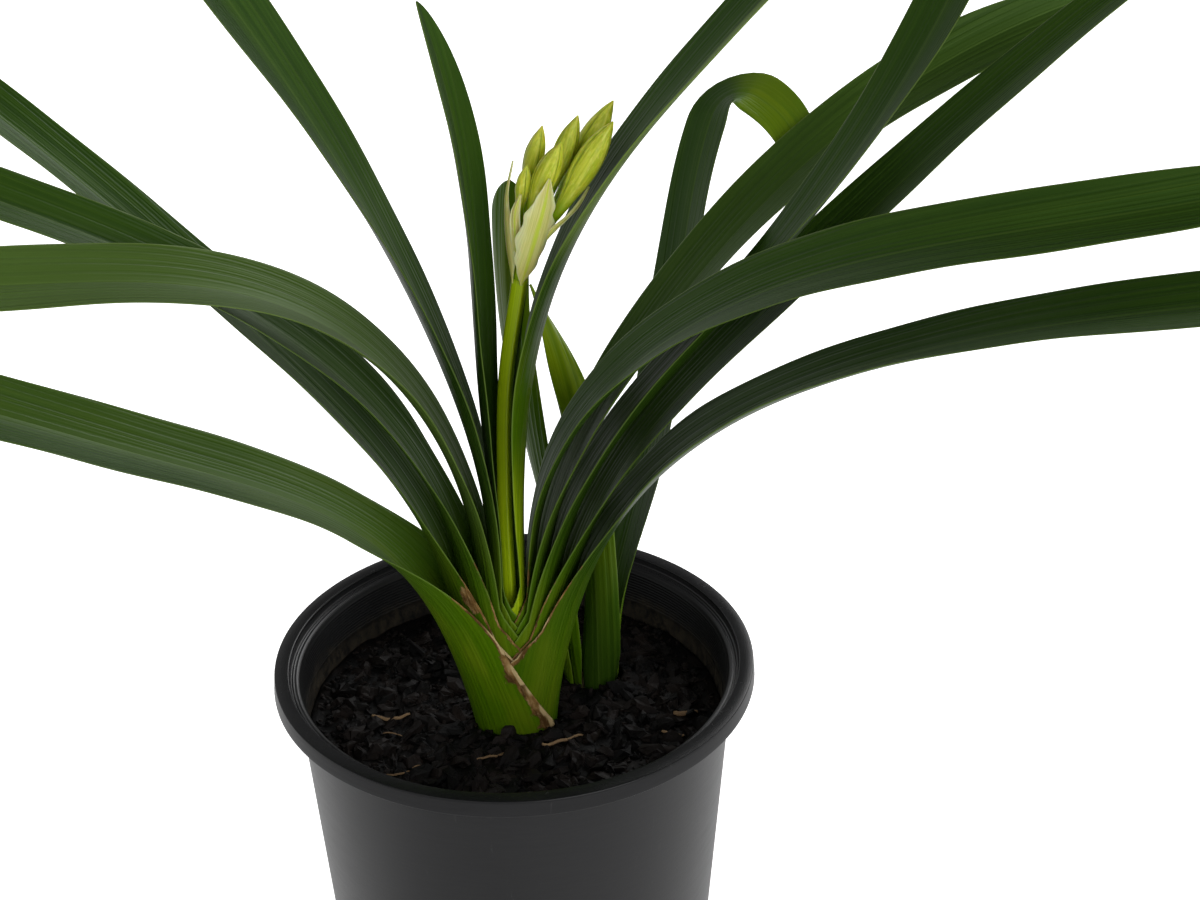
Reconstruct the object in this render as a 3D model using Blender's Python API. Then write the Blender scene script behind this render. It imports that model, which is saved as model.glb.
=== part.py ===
"""A clivia in a 200 mm nursery pot: two shoots of strap leaves, a flower stalk and its bud head.

Lengths are in millimetres up to the mesh builders, which write metres. +Z is up, the origin is the
middle of the pot's underside, and the plant faces -Y: its two ranks of leaves spread to -X and +X.
Angles are in degrees: a lean is measured from upright, a heading from +X, anticlockwise from above.
"""
import bpy
import bmesh
import numpy as np
from dataclasses import dataclass
from mathutils import Vector, noise

MM = 0.001
GAP = 0.3                      # clearance between pieces that touch
MERGE = 0.00001                # in metres

# Pot: a 200 mm moulded pot with a stepped, turned-down flange
POT_HEIGHT = 190.0
RIM_RADIUS = 100.0
SKIRT_RADIUS = 100.5
SKIRT_HEIGHT = 7.0
FLANGE_INNER_RADIUS = 93.9
FLANGE_STEP = 3.0
WALL_TOP_RADIUS = 91.5
BASE_RADIUS = 77.6
WALL = 1.8
FLOOR = 2.2
POT_SIDES = 56
DRAIN_HOLES = 8
DRAIN_RADIUS = 5.5
DRAIN_CIRCLE = 62.0
DRAIN_SIDES = 12

# Mix: fills the pot to a little under the rim, with a pit for each shoot
SOIL_TOP = 162.0
SOIL_RELIEF = 2.0
SOIL_GRAIN = 11.0
SOIL_RINGS = 9
SOIL_SIDES = 44

# Shoots: the place of each, and the half sizes of the crown that carries its leaves
MAIN = (0.0, -4.0)
REAR = (34.0, 25.5)
MAIN_CROWN = (19.0, 13.8)
REAR_CROWN = (12.8, 11.4)
CROWN_TOP = 155.7
CROWN_HEIGHT = 22.0
CROWN_SIDES = 32
LEAF_FOOT = CROWN_TOP + GAP

# Sheaths: they lie in rings round a shoot, each ring a step inside the last
RING_A, RING_B = 16.2, 11.6
RING_STEP_A, RING_STEP_B = 1.8, 1.7
REAR_RING = (5.0, 6.0)
MIDDLE_CLEAR = 0.8             # between the edges of a left and a right sheath
SHEATH_FLARE = 0.12            # widening for each millimetre of height
SHEATH_HALF_TURN = 88.0
SHEATH_THICK = 1.3
FLATTEN_RUN = 85.0             # length over which a sheath opens into its blade

# Blades: a shallow channel, thickest along the middle
BLADE_HALF_TURN = 42.0
BLADE_THICK = 1.3
EDGE_THICK = 0.7
CHANNEL_DEPTH = 6.0
TAPER, TAPER_START, TAPER_RUN = 0.25, 0.45, 0.35
TIP_SHARE, TIP_POWER = 0.26, 0.7
DROOP_RUN = 60.0               # length over which the part beyond a fold droops
LEAN_STATIONS = (0.0, 0.15, 0.35, 0.65, 1.0)
TURN_STATIONS = (0.0, 0.15, 0.5, 1.0)
LEAF_STATIONS, FOLDED_STATIONS = 14, 28
LEAF_ACROSS = 7
PATH_STEPS = 8                 # steps from one station to the next in which a leaf's path is added up
LEFT, RIGHT = 180.0, 0.0
STATION_CROWDING = 1.1          # puts more stations near the foot than near the tip
LEAF_END = 0.999               # the last station stops short of a width of nothing

# Stalk: places along it as shares of its length, with its half sizes there
STALK = ((0.0, -4.9, 156.0), (-1.1, -4.6, 220.0), (-1.5, -4.2, 275.0), (0.7, -4.0, 321.0), (7.5, -4.0, 364.0))
STALK_PLACES = (0.0, 0.3, 0.57, 0.79, 1.0)
STALK_HALF_X = (3.0, 2.9, 2.9, 3.0, 3.1)
STALK_HALF_Y = (1.5, 3.3, 3.8, 4.1, 4.3)
STALK_STATIONS = 11
STALK_SIDES = 12

# Bud head: each bud has a base, a tip and a radius; its profile is shares of length and of radius
UMBEL = (8.4, -4.0, 369.0)
UMBEL_HALF = (3.4, 4.6, 3.0)
PEDICEL_RADIUS = 2.0
BUDS = (
    ((24.5, 3.0, 395.2), (44.2, 4.0, 429.5), 5.5),
    ((22.1, -10.0, 392.5), (43.1, -12.0, 427.4), 5.8),
    ((19.1, -3.0, 396.7), (30.8, -2.0, 426.5), 4.8),
    ((12.4, -11.0, 393.0), (24.1, -12.0, 420.3), 5.0),
    ((10.6, -1.0, 396.3), (17.6, 0.0, 422.4), 4.1),
    ((8.0, -9.0, 392.4), (11.4, -10.0, 411.0), 3.3))
BUD_PROFILE = ((-1.0, 0), (-0.5, 0), (-0.01, 0), (0.14, 0.62), (0.32, 0.9), (0.5, 1.0), (0.7, 0.88),
               (0.86, 0.58), (0.96, 0.27), (1.0, 0.08))
BUD_SIDES = 8
FRONT_BRACT = ((7.7, -9.2, 363.0), (10.6, -13.0, 374.0), (14.7, -17.4, 389.5), (17.4, -19.2, 400.0),
               (19.1, -19.6, 408.5))
FRONT_BRACT_HALF = (3.6, 5.6, 7.0, 4.6, 0.7)
LEFT_BRACT = ((3.9, -6.4, 363.0), (3.4, -7.6, 378.0), (3.2, -8.6, 390.0), (3.6, -9.2, 400.0), (5.9, -9.6, 411.0))
LEFT_BRACT_HALF = (2.6, 4.2, 3.6, 1.5, 0.6)
BRACT_THICK = 0.8
BRACT_CUP = 0.3                # how far a side curls in, as a share of the half width
BRACT_STATIONS = 9
BRACT_ACROSS = 5


LEAF_GREEN = (0.028, 0.075, 0.018)
YOUNG_GREEN = (0.10, 0.19, 0.04)
STALK_GREEN = (0.24, 0.30, 0.03)
BUD_GREEN = (0.45, 0.50, 0.07)
BRACT_CREAM = (0.60, 0.60, 0.36)
CROWN_BROWN = (0.20, 0.14, 0.08)
SOIL_BLACK = (0.018, 0.015, 0.014)
POT_BLACK = (0.022, 0.022, 0.024)


def ring(steps_in):
    """Half sizes of the main shoot's ring that is this many steps inside the outermost one."""
    return RING_A - RING_STEP_A * steps_in, RING_B - RING_STEP_B * steps_in


@dataclass
class Leaf:
    """One strap leaf, sheath and blade in one piece."""
    name: str
    rank: float                # heading of its back, where it leaves the crown
    sheath: tuple              # half sizes of the ring that its sheath lies on
    length: float
    width: float
    lean: tuple                # at LEAN_STATIONS
    heading: tuple             # at the last three of TURN_STATIONS
    twist: tuple               # likewise
    vee: float                 # how far up the edges of its sheath still reach the shoot's middle
    middle: tuple = MAIN
    depth: float = CHANNEL_DEPTH
    kink: tuple = ()           # distance and run of a sharp fold, then its angle, turn, roll and droop
    flatten: float = FLATTEN_RUN   # length over which the sheath opens into the blade
    tip: float = TIP_SHARE     # share of the length that narrows to the tip
    colour: tuple = LEAF_GREEN


LEAVES = (
    Leaf("leaf_left_low", LEFT, ring(0), 380.0, 40.0, (9, 22, 57, 64, 73), (181, 192, 177), (-1, -11, -43), 34.0),
    Leaf("leaf_left_2", LEFT, ring(1), 430.0, 36.0, (9, 11, 36, 49, 63), (180, 170, 152), (0, 2, -9), 40.0),
    Leaf("leaf_left_3", LEFT, ring(2), 430.0, 36.0, (7, 6, 32, 61, 75), (180, 189, 159), (0, -11, -20), 50.0),
    Leaf("leaf_left_4", LEFT, ring(3), 430.0, 37.0, (5, 1, 26, 74, 74), (181, 199, 217), (-1, -11, -55), 56.0),
    Leaf("leaf_left_5", LEFT, ring(4), 420.0, 38.0, (3, -2, 14, 26, 38), (180, 192, 160), (0, -10, -34), 60.0),
    Leaf("leaf_left_6", LEFT, ring(5), 320.0, 30.0, (-1, -2, 4, 1, 17), (181, 206, 191), (0, -35, -45), 64.0),
    Leaf("leaf_right_low", RIGHT, ring(0), 470.0, 39.0, (4, 19, 51, 71, 84), (-4, -26, -9), (2, 1, 40), 40.0),
    Leaf("leaf_right_2", RIGHT, ring(1), 470.0, 36.0, (3, 14, 43, 53, 59), (1, 16, 14), (-1, -1, -1), 42.0),
    Leaf("leaf_right_3", RIGHT, ring(2), 440.0, 37.0, (2, 8, 36, 35, 19), (0, -1.5, 43), (0, -8, 16), 50.0),
    Leaf("leaf_right_4", RIGHT, ring(3), 440.0, 38.0, (2, 4, 34, 62, 81), (3, 29, 18), (-3, -11, 66), 54.0),
    Leaf("leaf_right_5", RIGHT, ring(4), 480.0, 38.0, (0, 2, 39, 68, 77), (0, -32, -6), (0, 20, 40), 58.0),
    Leaf("leaf_right_6", RIGHT, ring(5), 430.0, 37.0, (-2, -1, 7, 38, 49), (0, -5, 24), (0, -2, 6), 66.0),
    Leaf("leaf_inner", 90.0, (1.2, 2.0), 240.0, 8.4, (1, 3.5, 1, 4, 19), (130, 21, 22), (-40, 69, 68), 2.0,
         middle=(1.2, -3.5), depth=0.8, flatten=140.0),
    Leaf("rear_tall", 60.0, REAR_RING, 336.0, 30.6, (-1.9, 16.5, 18.5, 19.6, 79.6), (37.6, 55, 32.7),
         (-0.3, -26.4, 10.3), 20.0, middle=(38.5, 28.5), depth=3.5,
         kink=(245.9, 30.5, 58.5, -94.2, 34.3, 62.8)),
    Leaf("rear_left", LEFT, REAR_RING, 236.5, 24.0, (4, 5, 9.9, 5.6, -6.5), (185.8, 178.6, 183.8),
         (-2, 27.6, 57), 20.0, middle=(29.5, 28.5), depth=3.5, tip=0.07),
    Leaf("rear_young", 270.0, REAR_RING, 190.0, 18.0, (1, -2, -14, -14, -24), (274, 287, 369), (-30, -57, -3),
         20.0, middle=(36.0, 22.0), depth=3.5, colour=YOUNG_GREEN),
    Leaf("rear_scale", 195.0, (2.3, 4.0), 26.0, 8.0, (2, 3, 3, 2, 0), (195, 195, 195), (0, 0, 0), 6.0,
         middle=(24.6, 23.2), depth=1.5, flatten=14.0, colour=YOUNG_GREEN))


def smooth(x):
    """0 to 1 with level ends."""
    x = np.clip(x, 0.0, 1.0)
    return x * x * (3 - 2 * x)


def through(values, stations, x):
    """A smooth curve through one value at each station."""
    v, at = np.asarray(values, float), np.asarray(stations, float)
    slope = np.gradient(v, at)
    i = np.clip(np.searchsorted(at, x, side="right") - 1, 0, len(at) - 2)
    run = at[i + 1] - at[i]
    t = (x - at[i]) / run
    return ((2 * t**3 - 3 * t**2 + 1) * v[i] + (t**3 - 2 * t**2 + t) * run * slope[i]
            + (3 * t**2 - 2 * t**3) * v[i + 1] + (t**3 - t**2) * run * slope[i + 1])


def leaf_path(leaf, s):
    """Back line of a leaf at distances s from its foot, with its sideways and inward directions."""
    s = np.interp(np.arange((len(s) - 1) * PATH_STEPS + 1) / PATH_STEPS, np.arange(len(s)), s)
    f = s / leaf.length
    lean = through(leaf.lean, LEAN_STATIONS, f)
    heading = through((leaf.rank, *leaf.heading), TURN_STATIONS, f)
    twist = through((0.0, *leaf.twist), TURN_STATIONS, f)
    if leaf.kink:
        start, run, angle, turn, roll, droop = leaf.kink
        fold = smooth((s - start) / run)
        lean = lean + angle * fold + droop * smooth((s - start - run) / DROOP_RUN)
        heading = heading + turn * fold
        twist = twist + roll * fold
    lean, heading, twist = np.radians(lean), np.radians(heading), np.radians(twist)[:, None]
    along = np.stack([np.sin(lean) * np.cos(heading), np.sin(lean) * np.sin(heading), np.cos(lean)], 1)
    level = np.stack([-np.sin(heading), np.cos(heading), 0 * heading], 1)
    upward = np.cross(along, level)
    across = np.cos(twist) * level + np.sin(twist) * upward
    inward = np.cos(twist) * upward - np.sin(twist) * level
    out = rank_direction(leaf)
    foot = np.array([*(np.array(leaf.middle) + leaf.sheath[0] * out), LEAF_FOOT])
    steps = (along[1:] + along[:-1]) / 2 * np.diff(s)[:, None]
    path = foot + np.vstack([np.zeros(3), np.cumsum(steps, 0)])
    return path[::PATH_STEPS], across[::PATH_STEPS], inward[::PATH_STEPS], lean[::PATH_STEPS]


def rank_direction(leaf):
    """Level direction from the shoot's middle to the back of a leaf's sheath."""
    return np.array([np.cos(np.radians(leaf.rank)), np.sin(np.radians(leaf.rank))])


def leaf_sections(leaf, s, u):
    """Mid-surface points, normals and thickness, at distances s and at places u across, -1 to 1."""
    path, across, inward, lean = leaf_path(leaf, s)
    f = s / leaf.length
    blade = smooth((s - leaf.vee) / leaf.flatten)
    tip = np.clip((1 - f) / leaf.tip, 0, 1)
    outline = (1 - TAPER * smooth((f - TAPER_START) / TAPER_RUN)) * (1 - (1 - tip) ** 2) ** TIP_POWER
    sheath_half = leaf.sheath[1] + SHEATH_FLARE * np.minimum(s, leaf.vee)
    half_width = (1 - blade) * sheath_half + blade * leaf.width / 2 * outline
    from_middle = (path[:, :2] - np.array(leaf.middle)) @ rank_direction(leaf)
    wrap = (from_middle - MIDDLE_CLEAR) / np.cos(lean)
    wrap = np.where(s <= leaf.vee, wrap, np.interp(leaf.vee, s, wrap))
    depth = (1 - blade) * wrap + blade * leaf.depth * outline
    half_turn = np.radians((1 - blade) * SHEATH_HALF_TURN + blade * BLADE_HALF_TURN)
    swing = half_turn[:, None] * u
    wide = (half_width / np.sin(half_turn))[:, None]
    deep = (depth / (1 - np.cos(half_turn)))[:, None]
    x, y = wide * np.sin(swing), deep * (1 - np.cos(swing))
    dx, dy = wide * np.cos(swing), deep * np.sin(swing)
    size = np.hypot(dx, dy)
    points = path[:, None] + across[:, None] * x[..., None] + inward[:, None] * y[..., None]
    normals = across[:, None] * (-dy / size)[..., None] + inward[:, None] * (dx / size)[..., None]
    middle_thick = ((1 - blade) * SHEATH_THICK + blade * BLADE_THICK)[:, None]
    thick = EDGE_THICK + (middle_thick - EDGE_THICK) * (1 - u * u)
    return points, normals, thick


def solid(name, points, faces, colour, roughness=0.5):
    """One closed mesh object from points in millimetres, with its own plain material."""
    mesh = bpy.data.meshes.new(name)
    mesh.from_pydata([tuple(p) for p in np.asarray(points) * MM], [], faces)
    tidy = bmesh.new()
    tidy.from_mesh(mesh)
    bmesh.ops.remove_doubles(tidy, verts=tidy.verts, dist=MERGE)
    if tidy.calc_volume(signed=True) < 0:
        bmesh.ops.reverse_faces(tidy, faces=tidy.faces)
    tidy.to_mesh(mesh)
    tidy.free()
    mesh.shade_smooth()
    material = bpy.data.materials.new(name)
    material.use_nodes = True
    shader = material.node_tree.nodes["Principled BSDF"]
    shader.inputs["Base Color"].default_value = (*colour, 1.0)
    shader.inputs["Roughness"].default_value = roughness
    mesh.materials.append(material)
    item = bpy.data.objects.new(name, mesh)
    bpy.context.scene.collection.objects.link(item)
    return item


def sheet(name, points, normals, thick, colour):
    """A closed shell round a mid-surface, split into triangles alike on both of its faces."""
    half = normals * (thick / 2)[..., None]
    rows, columns = points.shape[:2]
    around = 2 * columns
    corners = np.concatenate([points + half, (points - half)[:, ::-1]], 1).reshape(-1, 3)
    faces = []
    for i in range(rows - 1):
        for j in range(around):
            a, b = i * around + j, i * around + (j + 1) % around
            c, d = a + around, b + around
            faces += [(a, d, c), (a, b, d)] if j < columns else [(a, b, c), (b, d, c)]
    last = (rows - 1) * around
    for j in range(columns - 1):
        a, b, c, d = j, j + 1, around - 1 - j, around - 2 - j
        faces += [(a, c, b), (b, c, d)]
        faces += [(last + a, last + b, last + c), (last + b, last + d, last + c)]
    return solid(name, corners, faces, colour)


def swept(name, path, half_x, half_y, sides, colour):
    """A closed solid with an oval section across a path that runs mostly along one direction."""
    path = np.asarray(path, float)
    along = np.gradient(path, axis=0)
    along /= np.linalg.norm(along, axis=1)[:, None]
    first = np.cross((0.0, 1.0, 0.0), along)
    first /= np.linalg.norm(first, axis=1)[:, None]
    second = np.cross(along, first)
    turn = np.arange(sides) * 2 * np.pi / sides
    points = (path[:, None] + first[:, None] * (np.outer(half_x, np.cos(turn)))[..., None]
              + second[:, None] * (np.outer(half_y, np.sin(turn)))[..., None]).reshape(-1, 3)
    faces = [tuple(reversed(range(sides))), tuple(range((len(path) - 1) * sides, len(path) * sides))]
    for i in range(len(path) - 1):
        for j in range(sides):
            a, b = i * sides + j, i * sides + (j + 1) % sides
            faces.append((a, b, b + sides, a + sides))
    return solid(name, points, faces, colour)


def turned(name, profile, sides, colour, roughness):
    """A solid of revolution about Z from a profile of (radius, height) that starts and ends on Z."""
    turn = np.arange(sides) * 2 * np.pi / sides
    points, faces = [(0.0, 0.0, profile[0][1])], []
    for radius, height in profile[1:-1]:
        points += [(radius * np.cos(t), radius * np.sin(t), height) for t in turn]
    points.append((0.0, 0.0, profile[-1][1]))
    last = len(points) - 1
    for j in range(sides):
        k = (j + 1) % sides
        faces.append((0, 1 + k, 1 + j))
        faces.append((last, last - sides + j, last - sides + k))
        for i in range(len(profile) - 3):
            a = 1 + i * sides
            faces.append((a + j, a + k, a + sides + k, a + sides + j))
    return solid(name, points, faces, colour, roughness)


def oval_post(name, middle, half, bottom, top, sides, colour):
    """An upright post with an oval section."""
    path = [(*middle, bottom), (*middle, top)]
    return swept(name, path, [half[0]] * 2, [half[1]] * 2, sides, colour)


def cut(item, tool):
    """Cut one object with another, which then only serves as a tool."""
    tool.hide_render = True
    tool.display_type = "WIRE"
    change = item.modifiers.new("cut", "BOOLEAN")
    change.operation = "DIFFERENCE"
    change.solver = "EXACT"
    change.object = tool


def pot_inner_radius(height):
    """Radius of the pot's inner wall at a height."""
    share = (height - FLOOR) / (POT_HEIGHT - FLOOR)
    return BASE_RADIUS - WALL + share * (WALL_TOP_RADIUS - BASE_RADIUS)


def pot():
    """The pot, with a ring of drain holes in its floor."""
    skirt_bottom = POT_HEIGHT - SKIRT_HEIGHT
    step = POT_HEIGHT - FLANGE_STEP
    profile = [
        (0.0, 0.0), (BASE_RADIUS, 0.0), (WALL_TOP_RADIUS, step - WALL), (RIM_RADIUS - 4.4, step - WALL),
        (RIM_RADIUS - 4.4, POT_HEIGHT - WALL), (RIM_RADIUS - 1.4, POT_HEIGHT - WALL),
        (RIM_RADIUS - 1.4, skirt_bottom), (SKIRT_RADIUS, skirt_bottom), (SKIRT_RADIUS - 0.3, POT_HEIGHT - 4.0),
        (RIM_RADIUS, POT_HEIGHT - 1.0), (RIM_RADIUS - 0.8, POT_HEIGHT),
        (FLANGE_INNER_RADIUS + 0.7, POT_HEIGHT), (FLANGE_INNER_RADIUS, POT_HEIGHT - 0.7),
        (FLANGE_INNER_RADIUS - 0.3, step), (pot_inner_radius(step) + 0.4, step - 0.8),
        (pot_inner_radius(step - 2.0), step - 2.0), (pot_inner_radius(FLOOR), FLOOR), (0.0, FLOOR)]
    body = turned("pot", profile, POT_SIDES, POT_BLACK, 0.35)
    for i in range(DRAIN_HOLES):
        turn = 2 * np.pi * (i + 0.5) / DRAIN_HOLES
        middle = (DRAIN_CIRCLE * np.cos(turn), DRAIN_CIRCLE * np.sin(turn))
        drain = (DRAIN_RADIUS, DRAIN_RADIUS)
        cut(body, oval_post("drain", middle, drain, -1.0, FLOOR + 1.0, DRAIN_SIDES, POT_BLACK))


def soil():
    """The mix: it fills the pot, its top is uneven, and each shoot stands in a pit of its own."""
    flat = np.cos(np.pi / POT_SIDES)
    bottom = FLOOR + GAP
    bottom_radius = pot_inner_radius(bottom) * flat - GAP
    top_radius = pot_inner_radius(SOIL_TOP) * flat - GAP - 0.2
    profile = [(0.0, bottom), (bottom_radius, bottom)]
    profile += [(top_radius * np.sqrt(1 - i / SOIL_RINGS), SOIL_TOP) for i in range(SOIL_RINGS)]
    profile.append((0.0, SOIL_TOP))
    body = turned("soil", profile, POT_SIDES, SOIL_BLACK, 0.95)
    for corner in body.data.vertices:
        if corner.co.z > SOIL_TOP * MM / 2:
            place = Vector((corner.co.x, corner.co.y, 0.0)) / (SOIL_GRAIN * MM)
            corner.co.z += SOIL_RELIEF * MM * noise.noise(place)
    for middle, half in ((MAIN, MAIN_CROWN), (REAR, REAR_CROWN)):
        pit = (half[0] + GAP, half[1] + GAP)
        floor = CROWN_TOP - CROWN_HEIGHT - GAP
        cut(body, oval_post("pit", middle, pit, floor, SOIL_TOP + 9.0, CROWN_SIDES, SOIL_BLACK))


def scape():
    """The flower stalk: it stands between the two ranks and leans a little to the right."""
    height = np.linspace(0.0, 1.0, STALK_STATIONS)
    path = np.stack([through([p[i] for p in STALK], STALK_PLACES, height) for i in range(3)], 1)
    half_x = through(STALK_HALF_X, STALK_PLACES, height)
    half_y = through(STALK_HALF_Y, STALK_PLACES, height)
    swept("scape", path, half_x, half_y, STALK_SIDES, STALK_GREEN)


def bud(name, base, tip, radius):
    """One closed bud on its short pedicel, rooted in the middle of the umbel."""
    root, base, tip = np.array(UMBEL), np.array(base), np.array(tip)
    places = np.array(BUD_PROFILE)
    share, size = places[:, 0], places[:, 1]
    reach = np.linalg.norm(base - root) / (np.linalg.norm(base - root) + np.linalg.norm(tip - base))
    along = np.where(share < 0, (share + 1) * reach, reach + share * (1 - reach))
    path = np.array([through([q[i] for q in (root, base, tip)], (0, reach, 1), along) for i in range(3)]).T
    half = np.where(share < 0, PEDICEL_RADIUS, size * radius)
    return swept(name, path, half, half, BUD_SIDES, BUD_GREEN)


def umbel():
    """The bud head: the swollen end of the stalk with all the buds rooted in it, as one solid."""
    low = STALK[-1][2] + GAP
    path = [(UMBEL[0] - 0.5, UMBEL[1], low), UMBEL, (UMBEL[0] + 0.6, UMBEL[1], UMBEL[2] + 3.5)]
    head = swept("umbel", path, UMBEL_HALF, UMBEL_HALF, BUD_SIDES * 2, BUD_GREEN)
    buds = bpy.data.collections.new("buds")
    for i, (base, tip, radius) in enumerate(BUDS):
        buds.objects.link(bud("bud_%d" % i, base, tip, radius))
    join = head.modifiers.new("join", "BOOLEAN")
    join.operation = "UNION"
    join.operand_type = "COLLECTION"
    join.collection = buds
    evaluated = head.evaluated_get(bpy.context.evaluated_depsgraph_get())
    joined = bpy.data.meshes.new_from_object(evaluated)
    head.modifiers.clear()
    head.data = joined
    for item in list(buds.objects):
        bpy.data.objects.remove(item, do_unlink=True)
    bpy.data.collections.remove(buds)


def bract(name, path, half_widths, facing):
    """A papery bract: a cupped shell along a path, its back to one heading."""
    share = np.linspace(0.0, 1.0, BRACT_STATIONS)
    stations = np.linspace(0.0, 1.0, len(path))
    line = np.stack([through([p[i] for p in path], stations, share) for i in range(3)], 1)
    along = np.gradient(line, axis=0)
    along /= np.linalg.norm(along, axis=1)[:, None]
    back = np.array([np.cos(np.radians(facing)), np.sin(np.radians(facing)), 0.0])
    across = np.cross(along, back)
    across /= np.linalg.norm(across, axis=1)[:, None]
    outward = np.cross(across, along)
    u = np.linspace(-1.0, 1.0, BRACT_ACROSS)
    half = through(half_widths, stations, share)[:, None]
    points = (line[:, None] + across[:, None] * (half * u)[..., None]
              - outward[:, None] * (BRACT_CUP * half * u * u)[..., None])
    slope = (2 * BRACT_CUP * u)[None, :, None]
    normals = outward[:, None] + across[:, None] * slope
    normals /= np.linalg.norm(normals, axis=2)[..., None]
    sheet(name, points, normals, np.full(points.shape[:2], BRACT_THICK), BRACT_CREAM)


def main():
    for item in list(bpy.data.objects):
        bpy.data.objects.remove(item, do_unlink=True)
    pot()
    soil()
    for name, middle, half in (("crown_main", MAIN, MAIN_CROWN), ("crown_rear", REAR, REAR_CROWN)):
        oval_post(name, middle, half, CROWN_TOP - CROWN_HEIGHT, CROWN_TOP, CROWN_SIDES, CROWN_BROWN)
    for leaf in LEAVES:
        stations = FOLDED_STATIONS if leaf.kink else LEAF_STATIONS
        s = np.linspace(0.0, 1.0, stations) ** STATION_CROWDING * leaf.length * LEAF_END
        sheet(leaf.name, *leaf_sections(leaf, s, np.linspace(-1.0, 1.0, LEAF_ACROSS)), leaf.colour)
    scape()
    umbel()
    bract("bract_front", FRONT_BRACT, FRONT_BRACT_HALF, 285.0)
    bract("bract_left", LEFT_BRACT, LEFT_BRACT_HALF, 200.0)


main()
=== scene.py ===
"""A clivia in its nursery pot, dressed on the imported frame: pot, mix, two shoots, stalk and bud head.

Lengths are in millimetres until they are written to a mesh, which is in metres. The plant faces -Y.
"""
from dataclasses import dataclass

import bmesh
import bpy
import numpy as np
from mathutils import Euler, Matrix, Vector, noise


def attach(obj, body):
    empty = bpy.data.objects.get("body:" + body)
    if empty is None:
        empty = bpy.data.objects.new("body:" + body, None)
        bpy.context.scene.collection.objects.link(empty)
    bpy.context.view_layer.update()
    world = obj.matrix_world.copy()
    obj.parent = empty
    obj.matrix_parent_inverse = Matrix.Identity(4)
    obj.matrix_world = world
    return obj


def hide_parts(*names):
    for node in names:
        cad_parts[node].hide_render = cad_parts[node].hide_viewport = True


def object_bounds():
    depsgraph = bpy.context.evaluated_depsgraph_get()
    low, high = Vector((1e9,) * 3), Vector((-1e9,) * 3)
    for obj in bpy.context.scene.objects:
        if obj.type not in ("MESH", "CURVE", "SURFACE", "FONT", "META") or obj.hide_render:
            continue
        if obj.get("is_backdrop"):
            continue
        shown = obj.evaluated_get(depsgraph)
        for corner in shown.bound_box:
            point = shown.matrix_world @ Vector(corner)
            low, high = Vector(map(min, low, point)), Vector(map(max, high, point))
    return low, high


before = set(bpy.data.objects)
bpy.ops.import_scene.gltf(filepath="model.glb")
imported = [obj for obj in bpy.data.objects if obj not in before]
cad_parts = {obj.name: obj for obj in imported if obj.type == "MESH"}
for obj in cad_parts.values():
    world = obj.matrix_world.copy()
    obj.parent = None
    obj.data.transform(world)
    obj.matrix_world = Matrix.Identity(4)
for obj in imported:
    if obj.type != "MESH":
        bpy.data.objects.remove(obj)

cad_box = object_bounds()


# The studio: a plain white floor and wide soft lights all round. The strongest stands to the right
# of the camera and not far above it. The camera looks down on the pot, as the photograph does.
MM = 0.001
PHOTO_WIDTH = 1200.0
FOCAL_PIXELS = 2200.0
CAMERA_PLACE = (0.0, -0.770, 0.7039)
CAMERA_PITCH, CAMERA_YAW, CAMERA_ROLL = 28.46, 2.76, 0.86
FLOOR_SIZE = 40.0
SOFT_LIGHTS = (                # name, tilt from overhead, heading and spread in degrees, strength
    ("front right", 75.0, 300.0, 50.0, 1.65),
    ("front left", 52.0, 240.0, 50.0, 0.6),
    ("left", 75.0, 180.0, 50.0, 0.4),
    ("right", 72.0, 0.0, 50.0, 0.65),
    ("back left", 75.0, 120.0, 50.0, 0.3),
    ("back", 60.0, 60.0, 30.0, 1.0))
BACKDROP_STRENGTH = 0.15
FLOOR_GLOW = (0.25, 0.25, 0.25)

scene = bpy.context.scene
scene.view_settings.view_transform = "Standard"


def placed(name, data):
    """An object in the scene that holds this camera, light or mesh."""
    item = bpy.data.objects.new(name, data)
    scene.collection.objects.link(item)
    return item


lens = bpy.data.cameras.new("camera")
lens.sensor_width = 36.0
lens.lens = FOCAL_PIXELS * lens.sensor_width / PHOTO_WIDTH
camera = placed("camera", lens)
aim = Euler(np.radians((90.0 - CAMERA_PITCH, 0.0, -CAMERA_YAW))).to_matrix()
camera.matrix_world = (Matrix.Translation(CAMERA_PLACE)
                       @ (aim @ Matrix.Rotation(np.radians(-CAMERA_ROLL), 3, "Z")).to_4x4())
scene.camera = camera

for name, tilt, heading, spread, strength in SOFT_LIGHTS:
    lamp = bpy.data.lights.new(name, "SUN")
    lamp.energy = strength
    lamp.angle = np.radians(spread)
    light = placed(name, lamp)
    tilt, heading = np.radians((tilt, heading))
    toward = Vector((np.sin(tilt) * np.cos(heading), np.sin(tilt) * np.sin(heading), np.cos(tilt)))
    light.rotation_euler = toward.to_track_quat("Z", "Y").to_euler()

world = bpy.data.worlds.new("studio")
world.use_nodes = True
backdrop = world.node_tree.nodes["Background"]
backdrop.inputs["Color"].default_value = (1.0, 1.0, 1.0, 1.0)
backdrop.inputs["Strength"].default_value = BACKDROP_STRENGTH
scene.world = world


def worked(operation, swapped=False):
    """An operator of Signal that adds a Math node, with its two sides swapped or as they stand."""
    def operator(*sides):
        return sides[0].net.maths(operation, *(reversed(sides) if swapped else sides))
    return operator


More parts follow.
